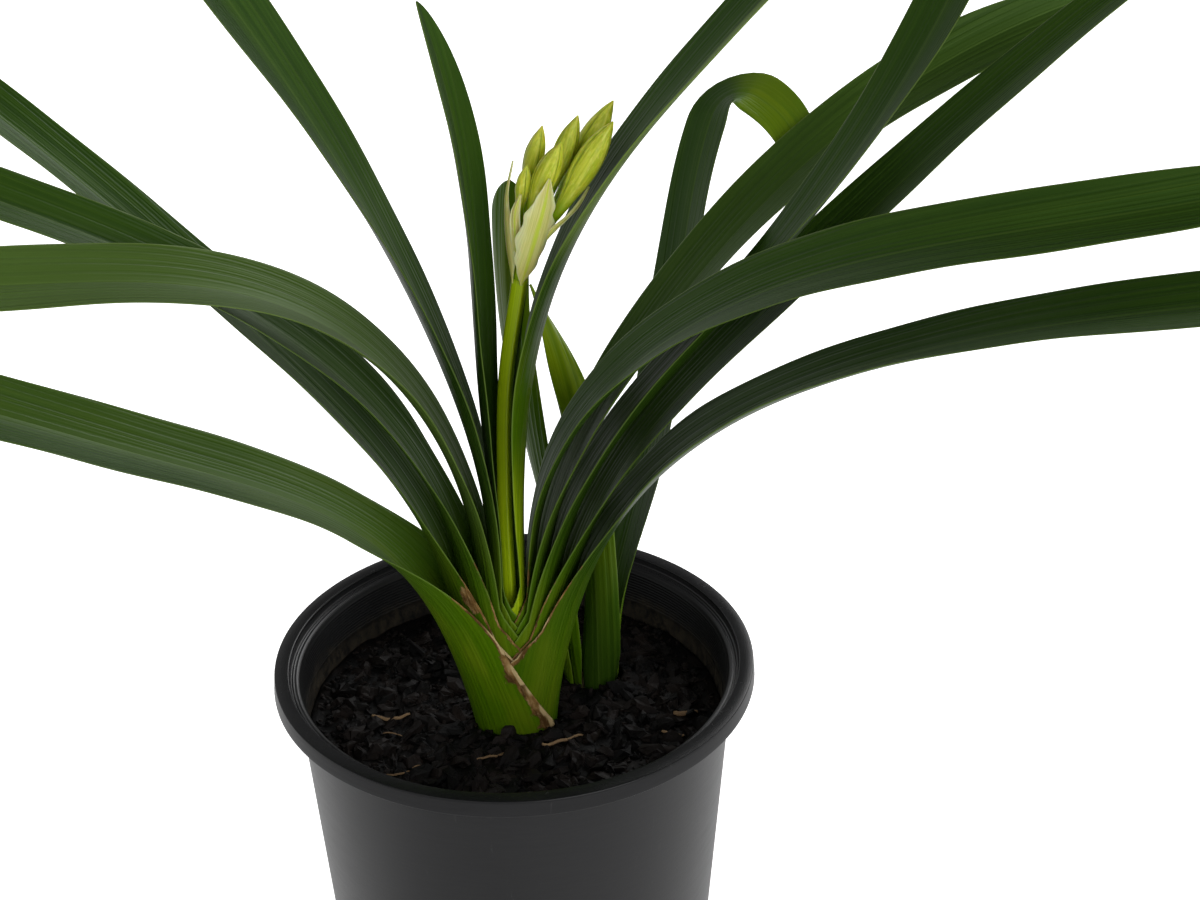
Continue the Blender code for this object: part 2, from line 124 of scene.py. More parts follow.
class Signal:
    """A node's socket. Arithmetic on it adds Math nodes to the net that it belongs to."""
    __add__, __radd__ = worked("ADD"), worked("ADD", swapped=True)
    __sub__, __rsub__ = worked("SUBTRACT"), worked("SUBTRACT", swapped=True)
    __mul__, __rmul__ = worked("MULTIPLY"), worked("MULTIPLY", swapped=True)
    __truediv__, __pow__, __abs__ = worked("DIVIDE"), worked("POWER"), worked("ABSOLUTE")

    def __init__(self, net, socket):
        self.net = net
        self.socket = socket

    def other(self, output):
        """Another output of the same node."""
        return Signal(self.net, self.socket.node.outputs[output])

    def ease(self, low, high, start=0.0, end=1.0):
        """A smooth step of this value from one level to another."""
        return self.net.node("ShaderNodeMapRange", {"interpolation_type": "SMOOTHSTEP"},
                             {"Value": self, "From Min": low, "From Max": high, "To Min": start, "To Max": end})

    def times(self, factor):
        """This vector, made longer by a factor."""
        return self.net.node("ShaderNodeVectorMath", {"operation": "SCALE"}, {0: self, "Scale": factor})

    def noise(self, scale, detail=2.0, roughness=0.5, distortion=0.0):
        """Noise at this place, with one scale for all three axes or one for each."""
        place = self
        if isinstance(scale, tuple):
            place = self.net.node("ShaderNodeVectorMath", {"operation": "MULTIPLY"}, {0: self, 1: scale})
            scale = 1.0
        return self.net.node("ShaderNodeTexNoise", {"noise_dimensions": "3D"},
                             {"Vector": place, "Scale": scale, "Detail": detail, "Roughness": roughness,
                              "Distortion": distortion})


class Net:
    """A node tree being built. One method adds any node: settings first, then sockets."""

    def __init__(self, tree):
        self.tree = tree

    def node(self, kind, settings=None, sockets=None, output=0):
        made = self.tree.nodes.new(kind)
        for key, value in (settings or {}).items():
            if key == "stops":
                ramp = made.color_ramp
                while len(ramp.elements) < len(value):
                    ramp.elements.new(1.0)
                for stop, (place, colour) in zip(ramp.elements, value):
                    stop.position = place
                    stop.color = (*colour, 1.0)
            else:
                setattr(made, key, value)
        for key, value in (sockets or {}).items():
            self.set(made.inputs[key], value)
        return Signal(self, made.outputs[output])

    def set(self, socket, value):
        """Link a signal to a socket, or write a plain value to it."""
        if isinstance(value, Signal):
            self.tree.links.new(value.socket, socket)
        else:
            socket.default_value = value

    def maths(self, operation, *values):
        return self.node("ShaderNodeMath", {"operation": operation}, dict(enumerate(values)))

    def tint(self, share, first, second):
        """One colour passing into another."""
        first, second = (c if isinstance(c, Signal) else (*c, 1.0) for c in (first, second))
        return self.node("ShaderNodeMix", {"data_type": "RGBA"}, {0: share, 6: first, 7: second}, 2)

    def layers(self, colour, *washes):
        """A colour with others washed over it in turn, each given with its share."""
        for share, wash in washes:
            colour = self.tint(share, colour, wash)
        return colour


class Finish(Net):
    """A material's nodes, with its Principled shader."""

    def __init__(self, name, shine, **plain):
        self.material = bpy.data.materials.new(name)
        self.material.use_nodes = True
        super().__init__(self.material.node_tree)
        self.shader = self.tree.nodes["Principled BSDF"]
        self.shader.inputs["Specular IOR Level"].default_value = shine
        for key, value in plain.items():
            self.shader.inputs[key.replace("_", " ").title()].default_value = value

    def place(self):
        """Where a point is on the object, in metres."""
        return self.node("ShaderNodeTexCoord", output="Object")

    def attribute(self, name, output="Fac"):
        return self.node("ShaderNodeAttribute", {"attribute_name": name}, output=output)

    def coat(self, colour, roughness, height=None, depth=0.1):
        """Send colour, roughness and a relief of this depth in millimetres to the shader."""
        self.set(self.shader.inputs["Base Color"], colour)
        self.set(self.shader.inputs["Roughness"], roughness)
        if height is not None:
            relief = self.node("ShaderNodeBump", {}, {"Height": height, "Distance": depth * MM, "Strength": 1.0})
            self.set(self.shader.inputs["Normal"], relief)


def add_piece(name, mesh, slot, *nodes):
    """An object at the origin that rides on the plant's one body and stands for its CAD nodes."""
    item = placed(name, mesh)
    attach(item, "root")
    if nodes:
        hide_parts(*nodes)


floor_finish = Finish("studio floor", 0.1)
speckle = floor_finish.place().noise(3.0)
floor_finish.coat(floor_finish.tint(speckle, (0.90, 0.90, 0.90), (0.93, 0.93, 0.93)), 0.9)
seen = floor_finish.node("ShaderNodeLightPath", output="Is Camera Ray")
floor_finish.set(floor_finish.shader.inputs["Emission Color"], floor_finish.tint(seen, FLOOR_GLOW, (1, 1, 1)))
floor_finish.shader.inputs["Emission Strength"].default_value = 1.0
floor_mesh = bpy.data.meshes.new("floor")
floor_corners = [(x * FLOOR_SIZE / 2, y * FLOOR_SIZE / 2, 0) for x, y in ((-1, -1), (1, -1), (1, 1), (-1, 1))]
floor_mesh.from_pydata(floor_corners, [], [(0, 1, 2, 3)])
floor_mesh.materials.append(floor_finish.material)
floor = placed("floor", floor_mesh)
floor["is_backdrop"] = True


# The pot: injection-moulded black polypropylene, thin-walled, with a stepped flange whose skirt turns
# down outside the wall. Inside, fine rings left by the mould run round under the flange, and dried
# hard water and old mix have left a tan film above the level of the mix.
POT_HEIGHT, RIM_RADIUS, SKIRT_RADIUS, SKIRT_HEIGHT = 190.0, 100.0, 100.5, 7.0
FLANGE_INNER_RADIUS, FLANGE_STEP = 93.9, 3.0
WALL_TOP_RADIUS, BASE_RADIUS, WALL, POT_FLOOR, BASE_HOLLOW = 91.5, 77.6, 1.8, 2.2, 1.2
POT_SIDES, EDGE_ROUNDING, ROUNDING_STEPS = 160, 0.55, 3
INNER_RINGS, INNER_RING_TOP, INNER_RING_PITCH, INNER_RING_DEPTH = 11, 184.6, 1.35, 0.42
DRAIN_HOLES, DRAIN_RADIUS, DRAIN_CIRCLE, DRAIN_DEPTH, DRAIN_SIDES = 8, 5.5, 62.0, 12.0, 24
SOIL_TOP = 162.0
LOWEST_SMOOTH_WALL = 169.0


def inner_radius(height):
    """Radius of the pot's inner wall at a height."""
    share = (height - POT_FLOOR) / (POT_HEIGHT - POT_FLOOR)
    return BASE_RADIUS - WALL + share * (WALL_TOP_RADIUS - BASE_RADIUS)


def smooth_mesh(name, points, faces, material=None, **paints):
    """A mesh through points in millimetres, with named numbers or vectors at them."""
    mesh = bpy.data.meshes.new(name)
    mesh.from_pydata((np.array(points) * MM).tolist(), [], faces)
    mesh.shade_smooth()
    if material:
        mesh.materials.append(material)
    for key, values in paints.items():
        kind, field = ("FLOAT_VECTOR", "vector") if values.shape[1] == 3 else ("FLOAT", "value")
        layer = mesh.attributes.new(key, kind, "POINT")
        layer.data.foreach_set(field, values.astype(np.float32).ravel())
    return mesh


def ring_mesh(name, rings, material, **paints):
    """A closed mesh through rings of points, with a fan at each end and named values at its points."""
    rows, sides = rings.shape[:2]
    faces = []
    for j in range(sides):
        k = (j + 1) % sides
        faces.append((rows * sides, k, j))
        faces.append((rows * sides + 1, (rows - 1) * sides + j, (rows - 1) * sides + k))
        for i in range(rows - 1):
            a = i * sides
            faces.append((a + j, a + k, a + sides + k, a + sides + j))
    points, *laid = (np.vstack([values.reshape(rows * sides, -1), values[:1].mean(1).reshape(1, -1),
                                values[-1:].mean(1).reshape(1, -1)]) for values in (rings, *paints.values()))
    return smooth_mesh(name, points, faces, material, **dict(zip(paints, laid)))


def turned(profile, sides):
    """Rings of points round the upright axis, one for each radius and height of a profile."""
    turn = np.arange(sides) * 2 * np.pi / sides
    radius, height = np.array(profile).T
    return np.stack([np.outer(radius, np.cos(turn)), np.outer(radius, np.sin(turn)),
                     np.repeat(height[:, None], sides, 1)], 2)


def rounded(corners, radius):
    """A profile with each of its inner corners cut back to a short curve."""
    corners = [np.array(c, float) for c in corners]
    line = [corners[0]]
    for before, corner, after in zip(corners, corners[1:], corners[2:]):
        reach = min(radius, np.linalg.norm(corner - before) * 0.45, np.linalg.norm(after - corner) * 0.45)
        start = corner + (before - corner) / np.linalg.norm(before - corner) * reach
        end = corner + (after - corner) / np.linalg.norm(after - corner) * reach
        for t in np.linspace(0.0, 1.0, ROUNDING_STEPS + 1):
            line.append((1 - t) ** 2 * start + 2 * t * (1 - t) * corner + t * t * end)
    line.append(corners[-1])
    return [tuple(p) for p in line]


def settled(item):
    """The plain mesh that an object's modifiers make. The object is then removed."""
    made = bpy.data.meshes.new_from_object(item.evaluated_get(bpy.context.evaluated_depsgraph_get()))
    item.modifiers.clear()
    bpy.data.objects.remove(item, do_unlink=True)
    return made


def mesh_of(name, shape):
    """A plain mesh of a bmesh, which is then freed."""
    mesh = bpy.data.meshes.new(name)
    shape.to_mesh(mesh)
    shape.free()
    return mesh


def carved(mesh, sides, *groups):
    """A mesh less some groups of upright cylinders, each given by its middle, half widths and height."""
    solid = placed("solid", mesh)
    tools = []
    for group in groups:
        cutter = bmesh.new()
        for middle, size in group:
            shape = Matrix.Translation(Vector(middle) * MM) @ Matrix.Diagonal((*(Vector(size) * MM), 1.0))
            bmesh.ops.create_cone(cutter, cap_ends=True, segments=sides, radius1=1.0, radius2=1.0, depth=1.0,
                                  matrix=shape)
        tools.append(placed("cutter", mesh_of("cutter", cutter)))
        cut = solid.modifiers.new("cut", "BOOLEAN")
        cut.operation, cut.solver, cut.object = "DIFFERENCE", "EXACT", tools[-1]
    made = settled(solid)
    for tool in tools:
        bpy.data.objects.remove(tool, do_unlink=True)
    return made


plastic = Finish("pot plastic", 0.22)
spot = plastic.place()
height = plastic.node("ShaderNodeSeparateXYZ", {}, {0: spot}, "Z")
east, north = height.other("X"), height.other("Y")
radius = plastic.maths("SQRT", east * east + north * north)
on_flange = height.ease(0.1886, 0.1893)
wall_line = height * ((WALL_TOP_RADIUS - BASE_RADIUS) / (POT_HEIGHT - POT_FLOOR)) + (BASE_RADIUS - WALL) * MM
inside = 1 - (radius - wall_line).ease(0.0006, 0.0011)
stain_line = height + spot.noise((60.0, 60.0, 42.0), 5.0, 0.65) * 0.016
stain_run = spot.noise((260.0, 260.0, 156.0), 6.0, 0.75)
stain = inside * height.ease(0.158, 0.163) * stain_line.ease(0.1725, 0.1845, 1.0, 0.0) * stain_run.ease(0.33, 0.62)
scuffs = spot.noise((55.0, 55.0, 495.0), 5.0, 0.7)
scratches = spot.noise((260.0, 260.0, 34.0), 4.0, 0.7, 1.6).ease(0.66, 0.74)
dust = spot.noise(900.0, 3.0, 0.7)
# The inner wall is painted near black: painted shade inside the pot, on the same plastic. The tan film above the mix
# is a real stain.
body_colour = plastic.layers(
    plastic.tint(scuffs, (0.0080, 0.0080, 0.0086), (0.0140, 0.0140, 0.0150)),
    (on_flange * 0.85, plastic.tint(dust, (0.0045, 0.0046, 0.0050), (0.0085, 0.0088, 0.0094))),
    (inside * 0.7, (0.0025, 0.0025, 0.0027)),
    (scratches * 0.22, (0.12, 0.12, 0.12)),
    (stain * 0.6, plastic.tint(stain_run, (0.018, 0.0135, 0.008), (0.075, 0.058, 0.034))))
gloss = 0.27 + scuffs * 0.10 - on_flange * 0.06 + inside * 0.15 + stain * 0.4 + scratches * 0.15
plastic.coat(body_colour, gloss, scuffs * 0.5 + dust * 0.35 + stain * 1.5, 0.05)

skirt_bottom = POT_HEIGHT - SKIRT_HEIGHT
step = POT_HEIGHT - FLANGE_STEP
outside = [
    (0.0, BASE_HOLLOW), (BASE_RADIUS - 7.0, BASE_HOLLOW), (BASE_RADIUS - 6.0, 0.0), (BASE_RADIUS, 0.0),
    (WALL_TOP_RADIUS, step - WALL), (RIM_RADIUS - 4.4, step - WALL),
    (RIM_RADIUS - 4.4, POT_HEIGHT - WALL), (RIM_RADIUS - 1.4, POT_HEIGHT - WALL),
    (RIM_RADIUS - 1.4, skirt_bottom), (SKIRT_RADIUS, skirt_bottom), (SKIRT_RADIUS - 0.3, POT_HEIGHT - 4.0),
    (RIM_RADIUS - 0.1, POT_HEIGHT), (FLANGE_INNER_RADIUS, POT_HEIGHT), (FLANGE_INNER_RADIUS - 0.3, step),
    (FLANGE_INNER_RADIUS - 1.0, step - 0.5), (FLANGE_INNER_RADIUS - 1.5, step - 0.1),
    (FLANGE_INNER_RADIUS - 2.1, step - 0.6), (FLANGE_INNER_RADIUS - 2.7, step - 0.2),
    (inner_radius(INNER_RING_TOP) + 0.5, step - 0.9)]
rings = []
for i in range(INNER_RINGS):
    level = INNER_RING_TOP - i * INNER_RING_PITCH
    rings.append((inner_radius(level), level))
    rings.append((inner_radius(level) - INNER_RING_DEPTH, level - INNER_RING_PITCH * 0.45))
low = [(inner_radius(level), level) for level in (LOWEST_SMOOTH_WALL, POT_FLOOR)] + [(0.0, POT_FLOOR)]
pot_profile = rounded(outside + rings + low, EDGE_ROUNDING)[1:-1]
drain_turns = (np.arange(DRAIN_HOLES) + 0.5) * 2 * np.pi / DRAIN_HOLES
drains = [((DRAIN_CIRCLE * np.cos(turn), DRAIN_CIRCLE * np.sin(turn), 0.0),
           (DRAIN_RADIUS, DRAIN_RADIUS, DRAIN_DEPTH)) for turn in drain_turns]
pot_mesh = ring_mesh("pot shell", turned(pot_profile, POT_SIDES), plastic.material)
add_piece("pot_shell", carved(pot_mesh, DRAIN_SIDES, drains), "pot_plastic", "pot")


# The mix: composted pine bark, nearly black when moist. A lumpy bed fills the pot to a little under
# the rim; loose chips and crumbs of bark lie on it, with a few tan twigs and dry rootlets.
MAIN, REAR = (0.0, -4.0), (34.0, 25.5)
SHOOTS = (                     # middle, half widths of its crown and of the part of the bed kept clear of chips
    (MAIN, (19.0, 13.8), (16.5, 12.0)),
    (REAR, (12.8, 11.4), (9.5, 9.0)))
CROWN_TOP, CROWN_HEIGHT, GAP = 155.7, 22.0, 0.3
PIT_HEIGHT, PIT_SIDES = 40.0, 48
BED_LUMPS = ((1.5, 21.0), (1.0, 6.5), (0.45, 2.6))   # rise and breadth
BED_SIDES, BED_RINGS, BED_GRID, BED_GRID_HALF = 120, 44, 150, 92.0
CHIP_KINDS = (                 # piece, chips in a square metre, smallest and largest in metres, seed
    ("bark_chips", 30000.0, 0.0030, 0.0078, 11),
    ("bark_crumbs", 120000.0, 0.0010, 0.0024, 23))
TWIGS = (                      # start, bend, end and half thickness
    ((-61.0, -3.0), (-53.0, -6.0), (-45.0, -3.0), 0.75),
    ((-54.0, -44.0), (-48.0, -46.0), (-41.0, -39.5), 0.42),
    ((-41.0, -39.5), (-38.5, -38.5), (-37.5, -43.0), 0.32),
    ((10.0, -29.0), (17.0, -30.0), (27.0, -22.0), 0.7),
    ((-17.0, -37.0), (-9.0, -36.0), (0.0, -33.0), 0.5),
    ((-56.0, -16.0), (-52.0, -14.0), (-48.0, -18.0), 0.28),
    ((66.0, -12.0), (70.0, -14.0), (76.0, -12.0), 1.1),
    ((60.0, -24.0), (64.0, -27.0), (69.0, -26.0), 0.7))


def bed_height(x, y):
    """Height of the top of the mix: low lumps over the whole bed."""
    return sum((rise * noise.noise(Vector((x, y, 0.0)) / breadth) for rise, breadth in BED_LUMPS), SOIL_TOP)


def lay_on_bed(corners):
    """Lift or lower corners to the top of the mix."""
    for corner in corners:
        corner.co.z = bed_height(corner.co.x / MM, corner.co.y / MM) * MM


bark = Finish("bark", 0.10)
spot = bark.place()
fibre = spot.noise(420.0, 5.0, 0.65)
bark_colour = bark.layers(
    bark.tint(bark.attribute("tone").ease(0.2, 1.0), (0.0014, 0.0013, 0.0013), (0.0105, 0.0078, 0.0068)),
    (spot.noise(90.0, 3.0).ease(0.45, 0.75) * 0.5, (0.0150, 0.0098, 0.0076)),
    (fibre.ease(0.62, 0.8) * 0.35, (0.034, 0.024, 0.019)))
bark.coat(bark_colour, 0.44 + fibre * 0.3, fibre, 0.35)

top_radius = inner_radius(SOIL_TOP) - 0.5
bed_profile = [(inner_radius(POT_FLOOR) - 0.6, POT_FLOOR + GAP)]
bed_profile += [(top_radius * np.sqrt(1 - i / BED_RINGS), SOIL_TOP) for i in range(BED_RINGS)]
bed_mesh = ring_mesh("mix bed", turned(bed_profile, BED_SIDES), bark.material)
lay_on_bed(corner for corner in bed_mesh.vertices if corner.co.z > SOIL_TOP * MM / 2)
pit_middle = CROWN_TOP - CROWN_HEIGHT - GAP + PIT_HEIGHT / 2
pits = ([((*middle, pit_middle), (crown[0] + GAP, crown[1] + GAP, PIT_HEIGHT))] for middle, crown, clear in SHOOTS)
add_piece("mix_bed", carved(bed_mesh, PIT_SIDES, *pits), "potting_mix", "soil")


class Maker(Net):
    """A Geometry Nodes tree with named inputs, from one geometry to another."""

    def __init__(self, name, **sizes):
        super().__init__(bpy.data.node_groups.new(name, "GeometryNodeTree"))
        panel = self.tree.interface
        panel.new_socket("Geometry", in_out="INPUT", socket_type="NodeSocketGeometry")
        panel.new_socket("Geometry", in_out="OUTPUT", socket_type="NodeSocketGeometry")
        for key, value in sizes.items():
            kind = "NodeSocketInt" if isinstance(value, int) else "NodeSocketFloat"
            socket = panel.new_socket(key.replace("_", " "), in_out="INPUT", socket_type=kind)
            socket.default_value = value
        self.entry = self.node("NodeGroupInput")

    def size(self, name):
        return self.entry.other(name)

    def named(self, name, kind="FLOAT"):
        """What the points of the mesh carry under a name."""
        return self.node("GeometryNodeInputNamedAttribute", {"data_type": kind}, {"Name": name}, "Attribute")

    def random(self, low, high, shift):
        """A number or vector drawn for each item, with the tree's seed moved on by a shift."""
        kind, first = ("FLOAT_VECTOR", 0) if isinstance(low, tuple) else ("FLOAT", 2)
        return self.node("FunctionNodeRandomValue", {"data_type": kind},
                         {first: low, first + 1: high, "Seed": self.size("Seed") + shift}, first // 2)

    def shifted(self, geometry, offset):
        return self.node("GeometryNodeSetPosition", {}, {"Geometry": geometry, "Offset": offset})

    def marked(self, geometry, name, value, domain="POINT"):
        return self.node("GeometryNodeStoreNamedAttribute", {"data_type": "FLOAT", "domain": domain},
                         {"Geometry": geometry, "Name": name, "Value": value})

    def plump(self):
        """1 at the middle of a sheet and 0 at its margins, round between them."""
        across = self.named("across")
        return self.maths("SQRT", self.maths("MAXIMUM", 1 - across * across, 0.0))

    def thicken(self, sheet, half_thick):
        """A closed shell with its faces this far from a sheet. The one behind is marked "under"."""
        facing = self.node("GeometryNodeInputNormal")
        both = self.node("GeometryNodeJoinGeometry")
        for sign in (1.0, -1.0):
            face = self.shifted(sheet, facing.times(half_thick * sign))
            if sign < 0:
                face = self.node("GeometryNodeFlipFaces", {}, {"Mesh": face})
            face = self.marked(face, "under", 0.0 if sign > 0 else 1.0)
            self.tree.links.new(face.socket, both.socket.node.inputs[0])
        return self.node("GeometryNodeMergeByDistance", {}, {"Geometry": both, "Distance": 0.00001})

    def close(self, geometry, material):
        """Realize the instances, set the material and end the tree."""
        plain = self.node("GeometryNodeRealizeInstances", {}, {0: geometry})
        made = self.node("GeometryNodeSetMaterial", {}, {"Geometry": plain, "Material": material})
        self.tree.nodes.new("NodeGroupOutput")
        self.set(self.tree.nodes["Group Output"].inputs[0], made)

    def apply(self, mesh, **sizes):
        """The plain mesh that the tree makes of this one, with these sizes at its named inputs."""
        holder = placed("maker", mesh)
        grow = holder.modifiers.new("maker", "NODES")
        grow.node_group = self.tree
        names = {item.name: item.identifier for item in self.tree.interface.items_tree
                 if item.in_out == "INPUT"}
        for key, value in sizes.items():
            grow[names[key.replace("_", " ")]] = value
        return settled(holder)


scatter = Maker("bark scatter", Chips_per_square_metre=30000.0, Smallest=0.002, Largest=0.006, Seed=1)
points = scatter.node("GeometryNodeDistributePointsOnFaces", {"distribute_method": "RANDOM"},
                      {"Mesh": scatter.size("Geometry"), "Density": scatter.size("Chips per square metre"),
                       "Seed": scatter.size("Seed")})
chip = scatter.node("GeometryNodeMeshUVSphere", {}, {"Segments": 7, "Rings": 5, "Radius": 1.0})
lie = scatter.random((-0.9, -0.7, 0.0), (0.9, 0.7, 6.283), 0)
girth = scatter.random(scatter.size("Smallest"), scatter.size("Largest"), 7)
slim = scatter.random((0.8, 0.36, 0.2), (1.3, 0.62, 0.42), 3)
lying = scatter.node("GeometryNodeInstanceOnPoints", {},
                     {"Points": points, "Instance": chip, "Rotation": lie, "Scale": slim.times(girth)})
toned = scatter.marked(lying, "tone", scatter.random(0.0, 1.0, 5), "INSTANCE")
loose = scatter.node("GeometryNodeRealizeInstances", {}, {0: toned})
rough = scatter.node("GeometryNodeInputPosition").noise(260.0, 2.0).other("Color")
push = scatter.node("ShaderNodeVectorMath", {"operation": "SUBTRACT"}, {0: rough, 1: (0.5, 0.5, 0.5)})
scatter.close(scatter.shifted(loose, push.times(scatter.size("Largest") * 1.1)), bark.material)


def in_shoot(x, y, grow):
    """Whether a place on the bed is inside one of the two shoots."""
    return any(((x - middle[0]) / (clear[0] + grow)) ** 2 + ((y - middle[1]) / (clear[1] + grow)) ** 2 < 1
               for middle, crown, clear in SHOOTS)


for name, density, smallest, largest, seed in CHIP_KINDS:
    edge = (inner_radius(SOIL_TOP) - largest / MM * 1.25) * MM
    ground = bmesh.new()
    bmesh.ops.create_grid(ground, x_segments=BED_GRID, y_segments=BED_GRID, size=BED_GRID_HALF * MM)
    lay_on_bed(ground.verts)
    unwanted = []
    for face in ground.faces:
        x, y = face.calc_center_median().xy
        if np.hypot(x, y) > edge or in_shoot(x / MM, y / MM, largest / MM * 0.5):
            unwanted.append(face)
    bmesh.ops.delete(ground, geom=unwanted, context="FACES")
    chips = scatter.apply(mesh_of("ground", ground), Chips_per_square_metre=density, Smallest=smallest,
                          Largest=largest, Seed=seed)
    add_piece(name, chips, "potting_mix")


def spread(path, first, a, second, b):
    """Rows of points beside a path, at distances a and b from it in two directions across it."""
    return path[:, None] + first[:, None] * a[..., None] + second[:, None] * b[..., None]


def beside(path, guide, a, b):
    """The same, with the first direction square to the path and to a guide direction."""
    along = np.gradient(path, axis=0)
    along /= np.linalg.norm(along, axis=1)[:, None]
    first = np.cross(guide, along)
    first /= np.linalg.norm(first, axis=1)[:, None]
    return spread(path, first, a, np.cross(along, first), b)


twig_wood = Finish("twig wood", 0.3)
spot = twig_wood.place()
grain = spot.noise(700.0, 4.0)
twig_colour = twig_wood.layers(
    twig_wood.tint(spot.noise(60.0), (0.10, 0.055, 0.025), (0.34, 0.22, 0.11)),
    (grain * 0.4, (0.05, 0.03, 0.02)))
twig_wood.coat(twig_colour, 0.75 + grain * 0.15, grain, 0.2)
TWIG_ROWS, TWIG_SIDES, TWIG_LIFT = 13, 7, 2.2
t = np.linspace(0.0, 1.0, TWIG_ROWS)
turn = np.arange(TWIG_SIDES) * 2 * np.pi / TWIG_SIDES
twig_points, twig_faces = [], []
for start, middle, end, thick in TWIGS:
    path = []
    for x, y in (np.outer((1 - t) ** 2, start) + np.outer(2 * t * (1 - t), middle) + np.outer(t * t, end)):
        lift = TWIG_LIFT + thick * 0.5 + 0.7 * noise.noise(Vector((x / 4, y / 4, thick)))
        path.append((x, y + 0.5 * noise.noise(Vector((x / 3, 3.0, thick))), bed_height(x, y) + lift))
    half = (thick * (0.55 + 0.45 * np.sin(t * 2.4 + 0.5)))[:, None]
    begin = len(twig_points)
    rims = beside(np.array(path), (0.0, 0.0, 1.0), half * np.cos(turn), half * np.sin(turn))
    twig_points.extend(rims.reshape(-1, 3))
    for i in range(begin, len(twig_points) - TWIG_SIDES, TWIG_SIDES):
        for j in range(TWIG_SIDES):
            k = (j + 1) % TWIG_SIDES
            twig_faces.append((i + j, i + k, i + TWIG_SIDES + k, i + TWIG_SIDES + j))
    twig_faces.append(tuple(reversed(range(begin, begin + TWIG_SIDES))))
    twig_faces.append(tuple(range(len(twig_points) - TWIG_SIDES, len(twig_points))))
twig_mesh = smooth_mesh("twigs", twig_points, twig_faces, twig_wood.material)
add_piece("twigs", twig_mesh, "potting_mix")


# The crowns: the short woody stems that carry the leaves. Each is buried in a pit of the mix and
# hidden by the sheaths, so it keeps its CAD solid and takes a dull corky finish.
cork = Finish("crown cork", 0.3)
ridges = cork.place().noise((260.0, 260.0, 1040.0), 5.0, 0.6)
cork.coat(cork.tint(ridges, (0.06, 0.04, 0.022), (0.22, 0.17, 0.10)), 0.8 + ridges * 0.1, ridges, 0.5)
for name in ("crown_main", "crown_rear"):
    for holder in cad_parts[name].material_slots:
        holder.material = cork.material


# The leaves: leathery straps in two ranks, each wrapped round the shoot at its foot as a sheath that
# opens into a blade. They are glossy dark green, yellow-green low down, with fine lengthwise veins,
# a pale midrib and margins, and the outermost sheaths have dry brown edges. Painted sheen lightens
# some blades and painted shade darkens others, and painted light brightens the bent end of rear_tall
# and the inner foot of leaf_right_6.
RING_A, RING_B, RING_STEP_A, RING_STEP_B = 16.2, 11.6, 1.8, 1.7
REAR_RING = (5.0, 6.0)
LEAF_FOOT = CROWN_TOP + GAP
MIDDLE_CLEAR, SHEATH_FLARE, SHEATH_HALF_TURN, FLATTEN_RUN = 0.8, 0.12, 88.0, 85.0
BLADE_HALF_TURN, CHANNEL_DEPTH, KEEL = 42.0, 6.0, 0.55
TAPER, TAPER_START, TAPER_RUN = 0.25, 0.45, 0.35
TIP_SHARE, TIP_POWER, DROOP_RUN = 0.26, 0.7, 60.0
LEAN_STATIONS, TURN_STATIONS = (0.0, 0.15, 0.35, 0.65, 1.0), (0.0, 0.15, 0.5, 1.0)
LEFT, RIGHT = 180.0, 0.0
LEAF_ROWS, ROW_CROWDING, TIP_GAP, SECTION_STEPS = 120, 1.18, 0.9996, 81
SEAM_EDGE, SEAM_RUN, TORN_EDGE, TORN_RUN = 0.955, 60.0, 0.84, 14.0
FOLD_START, FOLD_RUN, FOLD_BACKLIGHT = 12.0, 14.0, 1.4
LIT_EDGE, WAVE_FADE, LEAF_APART, LAP_RISE = 0.2, 60.0, 9.7, 3.0
ONE_TURN = 6.2832
ACROSS = np.array([-1.0, -0.985, -0.94, -0.86, -0.74, -0.6, -0.45, -0.3, -0.16, -0.06, 0.0,
                   0.06, 0.16, 0.3, 0.45, 0.6, 0.74, 0.86, 0.94, 0.985, 1.0])


def ring(steps_in):
    """Half widths of the ring of sheaths that is this many steps inside the outermost one."""
    return RING_A - RING_STEP_A * steps_in, RING_B - RING_STEP_B * steps_in


@dataclass
class Leaf:
    """One strap leaf, sheath and blade in one piece. Angles are in degrees, at the stations along it."""
    name: str
    rank: float                    # heading of its back as it leaves the shoot
    sheath: tuple                  # half widths of the ring that the sheath lies on
    length: float
    width: float
    lean: tuple                    # from upright
    heading: tuple                 # seen from above
    twist: tuple                   # round its own midrib
    vee: float                     # how far up the sheath closes
    middle: tuple = MAIN
    depth: float = CHANNEL_DEPTH
    kink: tuple = ()               # distance and run of a sharp fold, its angle, turn, roll and droop
    flatten: float = FLATTEN_RUN   # how far above the vee the sheath has opened flat
    tip: float = TIP_SHARE
    fresh_top: float = 150.0       # how far up the yellow-green of the foot reaches
    fresh: float = 0.0             # how yellow-green the whole leaf is, 1 light green and 2 lime; the channel it feeds also carries painted light
    foot: float = 1.0              # and how yellow-green its foot is; the lime foot of leaf_right_6 is partly painted light on its shaded inner sheath
    pale: float = 0.0              # painted sheen on the blade, and painted shade below 0
    flank: float = 0.0             # painted sheen on the half of the blade nearer the viewer, and painted shade below 0
    dry: float = 0.0               # how brown and ragged the sheath's edges are
    lap: float = 9.0               # how far the sheath's edges lap past the shoot's middle
    lap_slope: float = 0.8         # how fast they draw back, for each millimetre of height
    notch: float = 4.0             # how far they are cut back above the vee
    scars: tuple = ()              # dry spots: distance up, place across and reach
    slot: str = "leaf"


